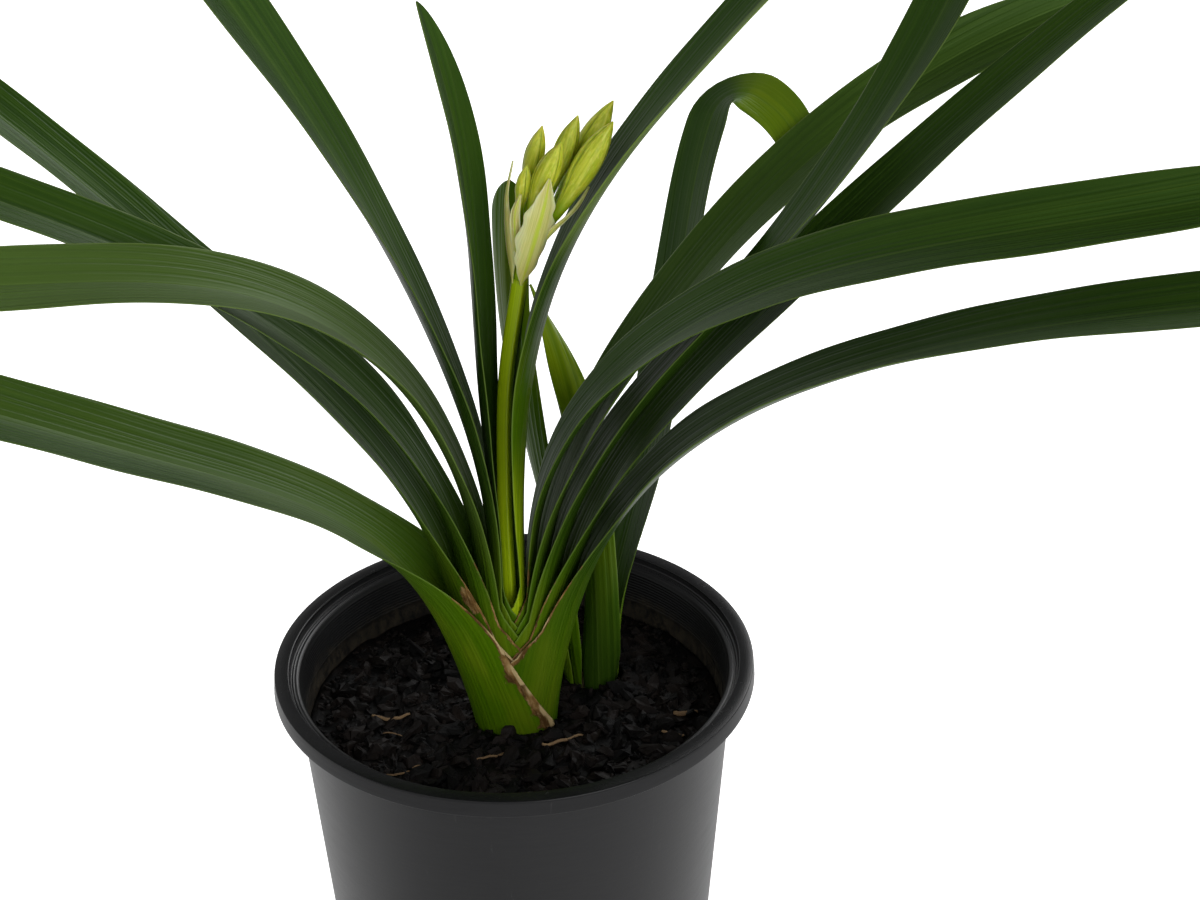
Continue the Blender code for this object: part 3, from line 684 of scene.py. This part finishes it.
LEAVES = (
    Leaf("leaf_left_low", LEFT, ring(0), 380.0, 40.0, (9, 22, 57, 64, 73), (181, 192, 177), (-1, -11, -43), 34.0,
         fresh_top=190.0, fresh=0.15, pale=0.25, flank=-0.5, dry=1.0, lap=17.0, lap_slope=0.5, notch=0.0),
    Leaf("leaf_left_2", LEFT, ring(1), 430.0, 36.0, (9, 11, 36, 49, 63), (180, 170, 152), (0, 2, -9), 40.0, dry=0.7,
         scars=((72.0, 0.88, 3.6),)),
    Leaf("leaf_left_3", LEFT, ring(2), 430.0, 36.0, (7, 6, 32, 61, 75), (180, 189, 159), (0, -11, -20), 50.0,
         pale=-0.1, dry=0.35),
    Leaf("leaf_left_4", LEFT, ring(3), 430.0, 37.0, (5, 1, 26, 74, 74), (181, 199, 217), (-1, -11, -55), 56.0,
         pale=0.35),
    Leaf("leaf_left_5", LEFT, ring(4), 420.0, 38.0, (3, -2, 14, 26, 38), (180, 192, 160), (0, -10, -34), 60.0,
         flank=-0.6),
    Leaf("leaf_left_6", LEFT, ring(5), 320.0, 30.0, (-1, -2, 4, 1, 17), (181, 206, 191), (0, -35, -45), 64.0,
         flank=-0.4),
    Leaf("leaf_right_low", RIGHT, ring(0), 470.0, 39.0, (4, 19, 51, 71, 84), (-4, -26, -9), (2, 1, 40), 40.0,
         foot=0.7, pale=-0.4, flank=0.3, dry=0.6, notch=6.0),
    Leaf("leaf_right_2", RIGHT, ring(1), 470.0, 36.0, (3, 14, 43, 53, 59), (1, 16, 14), (-1, -1, -1), 42.0,
         dry=0.35),
    Leaf("leaf_right_3", RIGHT, ring(2), 440.0, 37.0, (2, 8, 36, 35, 19), (0, -1.5, 43), (0, -8, 16), 50.0,
         pale=-0.4),
    Leaf("leaf_right_4", RIGHT, ring(3), 440.0, 38.0, (2, 4, 34, 62, 81), (3, 29, 18), (-3, -11, 66), 54.0,
         pale=0.2),
    Leaf("leaf_right_5", RIGHT, ring(4), 480.0, 38.0, (0, 2, 39, 68, 77), (0, -32, -6), (0, 20, 40), 58.0,
         pale=-0.2, dry=0.3, notch=6.0, scars=((180.0, -0.55, 1.2), (80.0, -0.95, 2.0))),
    Leaf("leaf_right_6", RIGHT, ring(5), 430.0, 37.0, (-2, -1, 7, 38, 49), (0, -5, 24), (0, -2, 6), 66.0,
         foot=3.0, fresh_top=240.0, pale=-0.35, flank=1.2),
    Leaf("leaf_inner", 90.0, (1.2, 2.0), 240.0, 8.4, (1, 3.5, 1, 4, 19), (130, 21, 22), (-40, 69, 68), 2.0,
         middle=(1.2, -3.5), depth=0.8, flatten=140.0, pale=0.5, fresh_top=110.0, lap=0.0, notch=0.0),
    Leaf("rear_tall", 60.0, REAR_RING, 336.0, 30.6, (-1.9, 16.5, 18.5, 19.6, 79.6), (37.6, 55, 32.7),
         (-0.3, -26.4, 10.3), 20.0, middle=(38.5, 28.5), depth=3.5,
         kink=(245.9, 30.5, 58.5, -94.2, 34.3, 62.8), fresh_top=80.0, pale=-0.6, lap=0.0, notch=0.0),
    Leaf("rear_left", LEFT, REAR_RING, 236.5, 24.0, (4, 5, 9.9, 5.6, -6.5), (185.8, 178.6, 183.8),
         (-2, 27.6, 57), 20.0, middle=(29.5, 28.5), depth=3.5, tip=0.07, fresh=0.8, fresh_top=80.0,
         lap=0.0, notch=0.0),
    Leaf("rear_young", 270.0, REAR_RING, 190.0, 18.0, (1, -2, -14, -14, -24), (274, 287, 369), (-30, -57, -3),
         20.0, middle=(36.0, 22.0), depth=3.5, fresh=1.6, foot=0.1, fresh_top=170.0,
         lap=0.0, notch=0.0, slot="young_leaf"),
    Leaf("rear_scale", 195.0, (2.3, 4.0), 26.0, 8.0, (2, 3, 3, 2, 0), (195, 195, 195), (0, 0, 0), 6.0,
         middle=(24.6, 23.2), depth=1.5, flatten=14.0, fresh=0.8, lap=0.0, notch=0.0,
         slot="young_leaf"))


def smooth(x):
    """0 to 1 with level ends."""
    x = np.clip(x, 0.0, 1.0)
    return x * x * (3 - 2 * x)


def through(values, stations, x):
    """A smooth curve through one number or point at each station."""
    v, at = np.asarray(values, float), np.asarray(stations, float)
    slope = np.gradient(v, at, axis=0)
    i = np.clip(np.searchsorted(at, x, side="right") - 1, 0, len(at) - 2)
    run = at[i + 1] - at[i]
    t = (x - at[i]) / run
    if v.ndim == 2:
        run, t = run[:, None], t[:, None]
    return ((2 * t**3 - 3 * t**2 + 1) * v[i] + (t**3 - 2 * t**2 + t) * run * slope[i]
            + (3 * t**2 - 2 * t**3) * v[i + 1] + (t**3 - t**2) * run * slope[i + 1])


def leaf_path(leaf, s):
    """Back line of a leaf at distances s from its foot, with its sideways and inward directions."""
    f = s / leaf.length
    lean = through(leaf.lean, LEAN_STATIONS, f)
    heading = through((leaf.rank, *leaf.heading), TURN_STATIONS, f)
    twist = through((0.0, *leaf.twist), TURN_STATIONS, f)
    if leaf.kink:
        start, run, angle, turn, roll, droop = leaf.kink
        fold = smooth((s - start) / run)
        lean = lean + angle * fold + droop * smooth((s - start - run) / DROOP_RUN)
        heading = heading + turn * fold
        twist = twist + roll * fold
    lean, heading, twist = np.radians(lean), np.radians(heading), np.radians(twist)[:, None]
    along = np.stack([np.sin(lean) * np.cos(heading), np.sin(lean) * np.sin(heading), np.cos(lean)], 1)
    level = np.stack([-np.sin(heading), np.cos(heading), 0 * heading], 1)
    upward = np.cross(along, level)
    across = np.cos(twist) * level + np.sin(twist) * upward
    inward = np.cos(twist) * upward - np.sin(twist) * level
    foot = np.array([*(np.array(leaf.middle) + leaf.sheath[0] * rank_direction(leaf)), LEAF_FOOT])
    steps = (along[1:] + along[:-1]) / 2 * np.diff(s)[:, None]
    path = foot + np.vstack([np.zeros(3), np.cumsum(steps, 0)])
    return path, across, inward, lean


def rank_direction(leaf):
    """Level direction from the shoot's middle to the back of a leaf's sheath."""
    return np.array([np.cos(np.radians(leaf.rank)), np.sin(np.radians(leaf.rank))])


def leaf_margins(leaf, s):
    """How far each row's edges lie beyond those of the bare sheath: a lap below the vee, a notch above."""
    above = s - leaf.vee - 2.0
    lap = np.clip(-above * leaf.lap_slope, 0.0, leaf.lap) if leaf.lap else 0 * s
    notch = leaf.notch * smooth(above / (leaf.notch * 2.0 + 1.0)) * (1 - smooth((above - 40.0) / 80.0))
    return lap - notch


def leaf_surface(leaf, s):
    """Mid-surface points of a leaf, a row at each distance s, with how far each is from the midrib.

    Where the sheaths of the two ranks lap, those of the right rank lie inside.
    """
    path, across, inward, lean = leaf_path(leaf, s)
    f = s / leaf.length
    blade = smooth((s - leaf.vee) / leaf.flatten)
    tip = np.clip((1 - f) / leaf.tip, 0, 1)
    outline = (1 - TAPER * smooth((f - TAPER_START) / TAPER_RUN)) * (1 - (1 - tip) ** 2) ** TIP_POWER
    sheath_half = leaf.sheath[1] + SHEATH_FLARE * np.minimum(s, leaf.vee)
    half_width = (1 - blade) * sheath_half + blade * leaf.width / 2 * outline
    from_middle = (path[:, :2] - np.array(leaf.middle)) @ rank_direction(leaf)
    wrap = (from_middle - MIDDLE_CLEAR) / np.cos(lean)
    wrap = np.where(s <= leaf.vee, wrap, np.interp(leaf.vee, s, wrap))
    depth = (1 - blade) * wrap + blade * leaf.depth * outline
    half_turn = np.radians((1 - blade) * SHEATH_HALF_TURN + blade * BLADE_HALF_TURN)
    swing = half_turn[:, None] * np.linspace(0.0, 1.0, SECTION_STEPS)
    side = (half_width / np.sin(half_turn))[:, None] * np.sin(swing)
    rise = (depth / (1 - np.cos(half_turn)))[:, None] * (1 - np.cos(swing))
    flank = (np.hypot(side / half_width[:, None], 0.05) - 0.05) * depth[:, None]
    rise += KEEL * blade[:, None] * (flank - rise)
    girth = np.cumsum(np.hypot(np.diff(side, prepend=0.0), np.diff(rise, prepend=0.0)), 1)
    reach = girth[:, -1] + leaf_margins(leaf, s)
    distance = np.abs(ACROSS)[None, :] * reach[:, None]
    x = np.array([np.interp(d, g, row) for d, g, row in zip(distance, girth, side)])
    y = np.array([np.interp(d, g, row) for d, g, row in zip(distance, girth, rise)])
    past = np.clip(distance - girth[:, -1:], 0.0, None)
    bend = np.clip(past / (depth[:, None] + 4.0), 0.0, 0.97)
    drawn_in = half_width[:, None] * (1 - np.sqrt(1 - bend * bend))
    over = -1.0 if leaf.rank == RIGHT else 1.0
    x += np.where(past > 0, over * smooth(past / LAP_RISE) - drawn_in, 0.0)
    y += past
    x *= np.sign(ACROSS)
    return spread(path, across, x, inward, y), distance * np.sign(ACROSS)


def margin_noise(places, shift, u):
    """Noise down the margins of a sheet, with one run for each half of its width."""
    runs = np.array([[noise.noise(Vector((place, shift, side))) for side in (0.0, 5.0)] for place in places])
    return np.where(u < 0, runs[:, :1], runs[:, 1:])


def grid_mesh(name, points, **paints):
    """An open sheet of quads through rows of points, with named values at its points."""
    rows, columns = points.shape[:2]
    corners = [i * columns + j for i in range(rows - 1) for j in range(columns - 1)]
    return smooth_mesh(name, points.reshape(-1, 3), [(a, a + 1, a + columns + 1, a + columns) for a in corners],
                       **{key: values.reshape(rows * columns, -1) for key, values in paints.items()})


leaf_skin = Finish("leaf skin", 0.20, specular_tint=(0.62, 1.0, 0.45, 1.0))
across, under, fresh, pale, dry = map(leaf_skin.attribute, ("across", "under", "fresh", "pale", "dry"))
grain = leaf_skin.attribute("grain", "Vector")
fine_vein = grain.noise((1.9, 0.006, 1.0))
cord = grain.noise((0.75, 0.0025, 1.0), 0.0).ease(0.36, 0.64)
broad_vein = grain.noise((0.32, 0.0035, 1.0), 1.0)
mottle = grain.noise((0.06, 0.018, 1.0), 3.0, 0.55)
shred = grain.noise((0.9, 0.35, 1.0), 4.0, 0.7)
midrib = 1 - abs(across).ease(0.008, 0.045)
margin = abs(across).ease(0.955, 0.985)
dark_green = leaf_skin.layers(
    leaf_skin.tint(broad_vein.ease(0.3, 0.7), (0.0070, 0.026, 0.0012), (0.0170, 0.047, 0.0024)),
    (cord * 0.55, (0.0290, 0.066, 0.0042)),
    (mottle.ease(0.35, 0.75) * 0.4, (0.031, 0.070, 0.0045)))
light_green = leaf_skin.layers(
    leaf_skin.tint(cord, (0.053, 0.125, 0.0008), (0.064, 0.138, 0.0010)),
    (mottle.ease(0.42, 0.66) * 0.7, (0.118, 0.176, 0.0050)))
# Lime: the yellow-green of young tissue, and painted light on the lit foot of leaf_right_6 and on the backlit fold
# of rear_tall.
lime = leaf_skin.tint(cord, (0.190, 0.300, 0.0020), (0.300, 0.410, 0.0060))
brown = leaf_skin.node("ShaderNodeValToRGB", {"stops": (
    (0.0, (0.030, 0.014, 0.005)), (0.46, (0.080, 0.037, 0.011)), (0.60, (0.21, 0.115, 0.036)),
    (0.85, (0.50, 0.35, 0.17)))}, {0: grain.noise((0.28, 0.09, 1.0), 3.0, 0.6)})
husk = leaf_skin.layers(
    brown,
    (shred.ease(0.5, 0.8) * 0.5, (0.50, 0.35, 0.17)),
    (dry.ease(1.02, 1.25), (0.46, 0.34, 0.17)))
dry_edge = (dry + (shred - 0.5) * 0.9).ease(0.35, 0.55)
skin = leaf_skin.layers(
    dark_green,
    (fresh.ease(0.0, 1.0), light_green),
    (fresh.ease(1.0, 2.0), lime),
    # Painted sheen lightens blades and painted shade darkens them.
    (pale.ease(0.0, 1.0), (0.150, 0.220, 0.050)),
    (pale.ease(0.0, -1.0), (0.005, 0.019, 0.001)),
    (under * 0.25, (0.040, 0.088, 0.010)),
    (fine_vein.ease(0.5, 0.85) * 0.16, (0.14, 0.21, 0.03)),
    (midrib * 0.25, (0.11, 0.18, 0.03)),
    (margin * 0.4, (0.15, 0.22, 0.04)),
    (dry_edge, husk))
leaf_skin.coat(skin, 0.29 + fine_vein * 0.12 + under * 0.12 + dry_edge * 0.3,
               fine_vein * 0.5 + cord + broad_vein + dry_edge * shred * 2.0, 0.16)

blade_maker = Maker("strap leaf", Middle_thickness=0.0011, Wave_height=0.0002, Wave_length=0.06, Phase=0.0)
across = blade_maker.named("across")
run = blade_maker.node("ShaderNodeSeparateXYZ", {}, {0: blade_maker.named("grain", "FLOAT_VECTOR")}, "Y") * MM
waves = (run / blade_maker.size("Wave length") + across * 0.35) * ONE_TURN + blade_maker.size("Phase")
lift = (blade_maker.maths("SINE", waves) * blade_maker.named("waviness") * abs(across) ** 1.6
        * blade_maker.size("Wave height"))
waved = blade_maker.shifted(blade_maker.size("Geometry"), blade_maker.node("GeometryNodeInputNormal").times(lift))
plump = blade_maker.plump()
half_thick = blade_maker.size("Middle thickness") * (0.25 * plump + 0.75 * plump ** 0.5) / 2
blade_maker.close(blade_maker.thicken(waved, half_thick), leaf_skin.material)

row_places = 1 - (1 - np.linspace(0.0, 1.0, LEAF_ROWS)) ** ROW_CROWDING
for number, leaf in enumerate(LEAVES):
    s = row_places * leaf.length * TIP_GAP
    surface, sideways = leaf_surface(leaf, s)
    u = np.repeat(ACROSS[None, :], len(s), 0)
    up = np.repeat(s[:, None], len(ACROSS), 1)
    blade = smooth((s - leaf.vee) / leaf.flatten)[:, None]
    edge = margin_noise(s / 7.0, number * 7.0, u)
    front = u if leaf.rank == LEFT else -u
    fresh_and_lit_share = leaf.fresh + (leaf.foot - leaf.fresh) * smooth(1 - (up - 10.0) / (leaf.fresh_top - 10.0))
    # Painted sheen and painted shade: one share for the whole blade, and one for the lit half nearer the viewer.
    lit_half = smooth((front - LIT_EDGE) / 0.12) * smooth((up - 0.8 * leaf.fresh_top) / 60.0)
    sheen_and_shade_share = leaf.pale * blade + leaf.flank * lit_half
    # Past the fold of rear_tall the blade is painted lime as painted backlight, and its painted sheen and shade are
    # lifted there.
    if leaf.kink:
        folded = smooth((up - leaf.kink[0] - FOLD_START) / FOLD_RUN)
        fresh_and_lit_share, sheen_and_shade_share = fresh_and_lit_share + FOLD_BACKLIGHT * folded, sheen_and_shade_share * (1 - folded)
    torn = (leaf.dry * smooth(1 - (up - leaf.vee - 2.0) / TORN_RUN)
            * smooth((front - TORN_EDGE + 0.09 * edge) / 0.08))
    seam = smooth((front - SEAM_EDGE) / 0.02) * smooth(1 - (up - leaf.vee - 6.0) / SEAM_RUN) * (leaf.lap > 0)
    dry_share = np.maximum(torn, seam * min(leaf.dry * 1.6, 1.0) * (1.3 + 1.3 * edge))
    for far, place, reach in leaf.scars:
        apart = np.hypot((up - far) / 2.2, (u - place) * leaf.width / 2)
        dry_share = np.maximum(dry_share, smooth(1.3 - apart / reach))
    grain_place = np.stack([sideways, up, 0 * up + number * LEAF_APART], 2)
    sheet = grid_mesh(leaf.name, surface, across=u, grain=grain_place, fresh=fresh_and_lit_share, pale=sheen_and_shade_share,
                      dry=dry_share, waviness=blade * smooth((leaf.length - up) / WAVE_FADE))
    blade_mesh = blade_maker.apply(sheet, Phase=float(number * 1.9), Wave_length=0.055 + 0.004 * (number % 5))
    add_piece(leaf.name + "_fine", blade_mesh, leaf.slot, leaf.name)


# The stalk: a solid, flattened flower stem that rises between the two ranks of leaves. It is
# lime-olive, smooth and fleshy, with a soft ridge down its near side and faint lengthwise lines.
STALK = ((0.0, -4.9, 156.0), (-1.1, -4.6, 220.0), (-1.5, -4.2, 275.0), (0.7, -4.0, 321.0), (7.5, -4.0, 364.0))
STALK_PLACES = (0.0, 0.3, 0.57, 0.79, 1.0)
STALK_HALF_X, STALK_HALF_Y = (3.0, 2.9, 2.9, 3.0, 3.1), (1.5, 3.3, 3.8, 4.1, 4.3)
STALK_OUTLINE = ((-1.0, -0.25), (-0.62, -0.66), (0.0, -0.92), (0.36, -1.0), (0.66, -0.74), (1.0, -0.1), (0.88, 0.4),
                 (0.4, 0.86), (-0.2, 0.94), (-0.78, 0.5))
STALK_ROWS, STALK_SIDES, STALK_LENGTH = 90, 50, 215.0

flesh = Finish("stalk flesh", 0.25)
grain = flesh.attribute("grain", "Vector")
line_tone = grain.noise((2.2, 0.004, 2.2), 3.0)
stalk_colour = flesh.layers(
    flesh.tint(line_tone.ease(0.3, 0.7), (0.260, 0.390, 0.0015), (0.380, 0.520, 0.004)),
    (grain.noise((0.3, 0.03, 0.3), 2.0).ease(0.4, 0.8) * 0.4, (0.36, 0.44, 0.008)),
    (flesh.attribute("ridge") * 0.4, (0.46, 0.56, 0.04)))
flesh.coat(stalk_colour, 0.34 + line_tone * 0.12, line_tone, 0.06)

share = np.linspace(0.0, 1.0, STALK_ROWS)
path = through(STALK, STALK_PLACES, share)
half_x = through(STALK_HALF_X, STALK_PLACES, share)[:, None]
half_y = through(STALK_HALF_Y, STALK_PLACES, share)[:, None]
corners = len(STALK_OUTLINE)
around = np.arange(STALK_SIDES) / STALK_SIDES * corners + corners
section = through(STALK_OUTLINE * 3, np.arange(3.0 * corners), around)
front_ridge = np.exp(-(((section[:, 0] - 0.36) / 0.07) ** 2)) * (section[:, 1] < 0)
x, y = half_x * section[:, 0], half_y * section[:, 1]
stalk_rings = beside(path, (0.0, 1.0, 0.0), x, y)
stalk_grain = np.stack([x, np.repeat(share[:, None] * STALK_LENGTH, STALK_SIDES, 1), y], 2)
stalk_mesh = ring_mesh("stalk", stalk_rings, flesh.material, grain=stalk_grain,
                       ridge=np.repeat(front_ridge[None, :], STALK_ROWS, 0))
add_piece("stalk_fine", stalk_mesh, "stalk", "scape")


# The bud head: six closed buds on short green pedicels that spring from the swollen end of the
# stalk. Each bud is three fleshy outer tepals folded edge to edge round the inner ones: lime-yellow,
# softly streaked, blunt-tipped, with a shallow crease where two tepals meet.
UMBEL, UMBEL_HALF, PEDICEL_RADIUS = (8.4, -4.0, 369.0), (3.4, 4.6, 3.0), 2.0
BUDS = (
    ((24.5, 3.0, 395.2), (44.2, 4.0, 430.3), 4.9),
    ((22.1, -10.0, 392.5), (43.1, -12.0, 428.0), 5.1),
    ((19.1, -3.0, 396.7), (30.8, -2.0, 427.2), 4.2),
    ((12.4, -11.0, 393.0), (24.1, -12.0, 420.8), 4.4),
    ((10.6, -1.0, 396.3), (17.6, 0.0, 423.0), 3.6),
    ((8.0, -9.0, 392.4), (11.4, -10.0, 411.6), 2.9))
BUD_PLACES = (0.0, 0.12, 0.25, 0.38, 0.52, 0.68, 0.82, 0.93, 1.0)
BUD_HALVES = (0.46, 0.56, 0.68, 0.88, 1.0, 0.93, 0.66, 0.34, 0.05)
PEDICEL_ROWS, BUD_ROWS, BUD_SIDES = 20, 50, 48
KNOB_ROWS, KNOB_SIDES = 14, 24
TEPALS, BUD_TWIST = 3, 0.55

tepal = Finish("bud tepals", 0.3, subsurface_weight=0.25, subsurface_scale=0.004)
grain = tepal.attribute("grain", "Vector")
streak = grain.noise((1.1, 0.05, 1.1), 3.0)
fleck = grain.noise((0.9, 0.35, 0.9), 4.0, 0.6)
crease = tepal.attribute("crease")
bud_colour = tepal.layers(
    tepal.tint(streak.ease(0.35, 0.65), (0.36, 0.43, 0.010), (0.55, 0.59, 0.045)),
    (fleck.ease(0.5, 0.75) * 0.5, (0.66, 0.69, 0.15)),
    (1 - tepal.attribute("ripe"), tepal.tint(streak, (0.17, 0.30, 0.002), (0.32, 0.46, 0.006))),
    (crease.ease(0.0, 1.0) * 0.8, (0.11, 0.17, 0.003)),
    (crease.ease(0.0, -1.0) * 0.5, (0.62, 0.64, 0.20)))
tepal.coat(bud_colour, 0.38 + streak * 0.14, streak + fleck * 0.5, 0.12)


def bud_rings(number, base, tip, radius):
    """Rings of one bud and its pedicel, with its ripeness, its creases and its own coordinates."""
    root, base, tip = np.array(UMBEL), np.array(base), np.array(tip)
    stem = np.linalg.norm(base - root)
    body = np.linalg.norm(tip - base)
    reach = stem / (stem + body)
    share = np.concatenate([np.linspace(-1.0, -0.06, PEDICEL_ROWS), np.linspace(0.0, 1.0, BUD_ROWS) ** 0.9])
    along_all = np.where(share < 0, (share + 1) * reach, reach + share * (1 - reach))
    path = through((root, base, tip), (0, reach, 1), along_all)
    size = through(BUD_HALVES, BUD_PLACES, np.clip(share, 0.0, 1.0))
    ovary = 1 + 0.16 * np.exp(-((share + 0.04) / 0.07) ** 2)
    swell = smooth((share + 0.1) / 0.2)
    half = ((1 - swell) * PEDICEL_RADIUS * 0.85 + swell * size * radius) * ovary
    turn = np.arange(BUD_SIDES) * 2 * np.pi / BUD_SIDES
    formed = smooth((share[:, None] - 0.04) / 0.22)
    part = np.mod((turn + number * 2.3 + share[:, None] * BUD_TWIST) * TEPALS / (2 * np.pi), 1.0)
    overlap = 0.12 * part - 0.12 * smooth((part - 0.93) / 0.07)
    keel = np.exp(-((part - 0.48) / 0.09) ** 2)
    sunken = smooth((share[:, None] - 0.80) / 0.2) * np.abs(part - 0.48) * 0.55
    scale = 1 - formed * (0.06 - overlap - 0.045 * keel + sunken)
    rim = half[:, None] * scale
    rings = beside(path, (0.0, 1.0, 0.0), np.cos(turn) * rim, np.sin(turn) * rim)
    length = (along_all * (stem + body))[:, None] + 0 * turn
    grain_place = np.stack([half[:, None] * np.cos(turn), length + number * 40.0, half[:, None] * np.sin(turn)], 2)
    ripe_share = smooth((share - 0.02) / 0.28)[:, None] + 0 * turn
    shut = np.exp(-((part - 0.99) / 0.05) ** 2) + np.exp(-((part + 0.01) / 0.05) ** 2)
    return rings, grain_place, ripe_share, formed * (shut - 0.6 * np.exp(-((part - 0.9) / 0.05) ** 2) - 0.35 * keel)


bud_meshes = []
for number, (base, tip, radius) in enumerate(BUDS):
    rings, grain_place, ripe_share, groove = bud_rings(number, base, tip, radius)
    bud_meshes.append(ring_mesh("bud", rings, tepal.material, grain=grain_place, ripe=ripe_share, crease=groove))
t = np.linspace(0.0, np.pi, KNOB_ROWS)
low_end, high_end = STALK[-1][2] + 0.1, UMBEL[2] + 4.5
knob_z = (low_end + high_end) / 2 - np.cos(t) * (high_end - low_end) / 2
knob_path = np.stack([np.linspace(UMBEL[0] - 0.9, UMBEL[0] + 0.8, KNOB_ROWS), 0 * t + UMBEL[1], knob_z], 1)
knob_half = (0.75 + 0.25 * np.sin(t))[:, None]
turn = np.arange(KNOB_SIDES) * 2 * np.pi / KNOB_SIDES
knob = knob_path[:, None] + np.stack([UMBEL_HALF[0] * knob_half * np.cos(turn),
                                      UMBEL_HALF[1] * knob_half * np.sin(turn), 0 * knob_half * turn], 2)
plain = 0 * knob[..., 0]
bud_meshes.append(ring_mesh("knob", knob, tepal.material, grain=knob, ripe=plain, crease=plain))
head = bmesh.new()
for mesh in bud_meshes:
    head.from_mesh(mesh)
head_mesh = mesh_of("bud head", head)
head_mesh.shade_smooth()
head_mesh.materials.append(tepal.material)
add_piece("bud_head", head_mesh, "bud", "umbel")


# The bracts: papery cream shells that wrapped the bud head before it opened. The broad one stands in
# front, the narrow one on the left ends in a thin tip, a scrap of a third is folded between them, and
# a thin strip curls away to the right.
BRACTS = (                     # piece, CAD nodes, heading, raggedness, half widths and path
    ("bract_front_fine", ["bract_front"], 285.0, 0.28, (1.6, 4.9, 6.3, 4.0, 0.4),
     ((7.7, -9.2, 363.0), (10.6, -13.0, 374.0), (14.7, -17.4, 389.5), (17.4, -19.2, 400.0), (19.3, -19.6, 409.5))),
    ("bract_left_fine", ["bract_left"], 200.0, 0.12, (1.4, 4.0, 3.3, 1.3, 0.35),
     ((4.6, -6.6, 363.0), (3.4, -7.8, 378.0), (3.0, -8.6, 390.0), (3.6, -9.2, 401.0), (6.2, -9.6, 413.0))),
    ("bract_small", [], 250.0, 0.15, (1.0, 2.1, 1.9, 0.4),
     ((6.4, -9.6, 372.0), (6.2, -12.2, 384.0), (6.4, -14.2, 394.0), (8.6, -15.0, 402.0))),
    ("bract_thread", [], 290.0, 0.2, (1.2, 1.3, 0.75, 0.7, 0.3),
     ((12.0, -10.0, 375.0), (19.5, -14.4, 386.5), (25.5, -14.2, 392.0), (30.0, -13.0, 396.5), (34.0, -12.0, 403.0))))
BRACT_THICK, BRACT_CUP, BRACT_LENGTH, BRACT_ROWS, BRACT_COLUMNS = 0.5, 0.3, 50.0, 60, 25

paper = Finish("bract paper", 0.3, subsurface_weight=0.2, subsurface_scale=0.003)
grain = paper.attribute("grain", "Vector")
across = paper.attribute("across")
fibre = grain.noise((2.6, 0.05, 1.0), 3.0)
paper_colour = paper.layers(
    paper.tint(fibre.ease(0.3, 0.7), (0.45, 0.45, 0.11), (0.62, 0.59, 0.21)),
    (abs(across).ease(0.5, 0.95) * 0.6, (0.72, 0.70, 0.42)),
    ((1 - abs(across).ease(0.03, 0.24)) * 0.8, (0.44, 0.55, 0.02)),
    (grain.noise((0.35, 0.12, 1.0), 3.0).ease(0.55, 0.8) * 0.35, (0.74, 0.72, 0.50)),
    (paper.attribute("root") * 0.45, (0.46, 0.44, 0.06)))
paper.coat(paper_colour, 0.5 + fibre * 0.15, fibre, 0.12)

shell_maker = Maker("bract shell", Thickness=BRACT_THICK * MM)
half_thick = shell_maker.size("Thickness") * shell_maker.plump() * 0.5
shell_maker.close(shell_maker.thicken(shell_maker.size("Geometry"), half_thick), paper.material)

share = np.linspace(0.0, 1.0, BRACT_ROWS)
u = np.repeat(np.sin(np.linspace(-1.0, 1.0, BRACT_COLUMNS) * np.pi / 2)[None, :], BRACT_ROWS, 0)
for number, (name, nodes, heading, ragged, half_widths, bends) in enumerate(BRACTS):
    stations = np.linspace(0.0, 1.0, len(bends))
    path = through(bends, stations, share)
    back = (np.cos(np.radians(heading)), np.sin(np.radians(heading)), 0.0)
    half = (through(half_widths, stations, share) * (0.15 + 0.85 * smooth((share + 0.04) / 0.22)))[:, None]
    wide = u * (1 + ragged * margin_noise(share * 9.0, number * 5.0, u) * np.abs(u) ** 4)
    cup = BRACT_CUP * half * wide * wide
    fold = 0.35 * np.sin(u * 6.0 + share[:, None] * 5.0 + number) * np.abs(u) * smooth(share[:, None] * 4)
    surface = beside(path, back, -half * wide, -cup - fold)
    grain_place = np.stack([half * u, share[:, None] * BRACT_LENGTH + 0 * u, 0 * u + number * 11.0], 2)
    sheet = grid_mesh(name, surface, across=u, grain=grain_place, root=smooth(1 - share[:, None] / 0.35) + 0 * u)
    add_piece(name, shell_maker.apply(sheet), "bract", *nodes)

plain = [[[float(v) for v in corner] for corner in box] for box in (cad_box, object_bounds())]
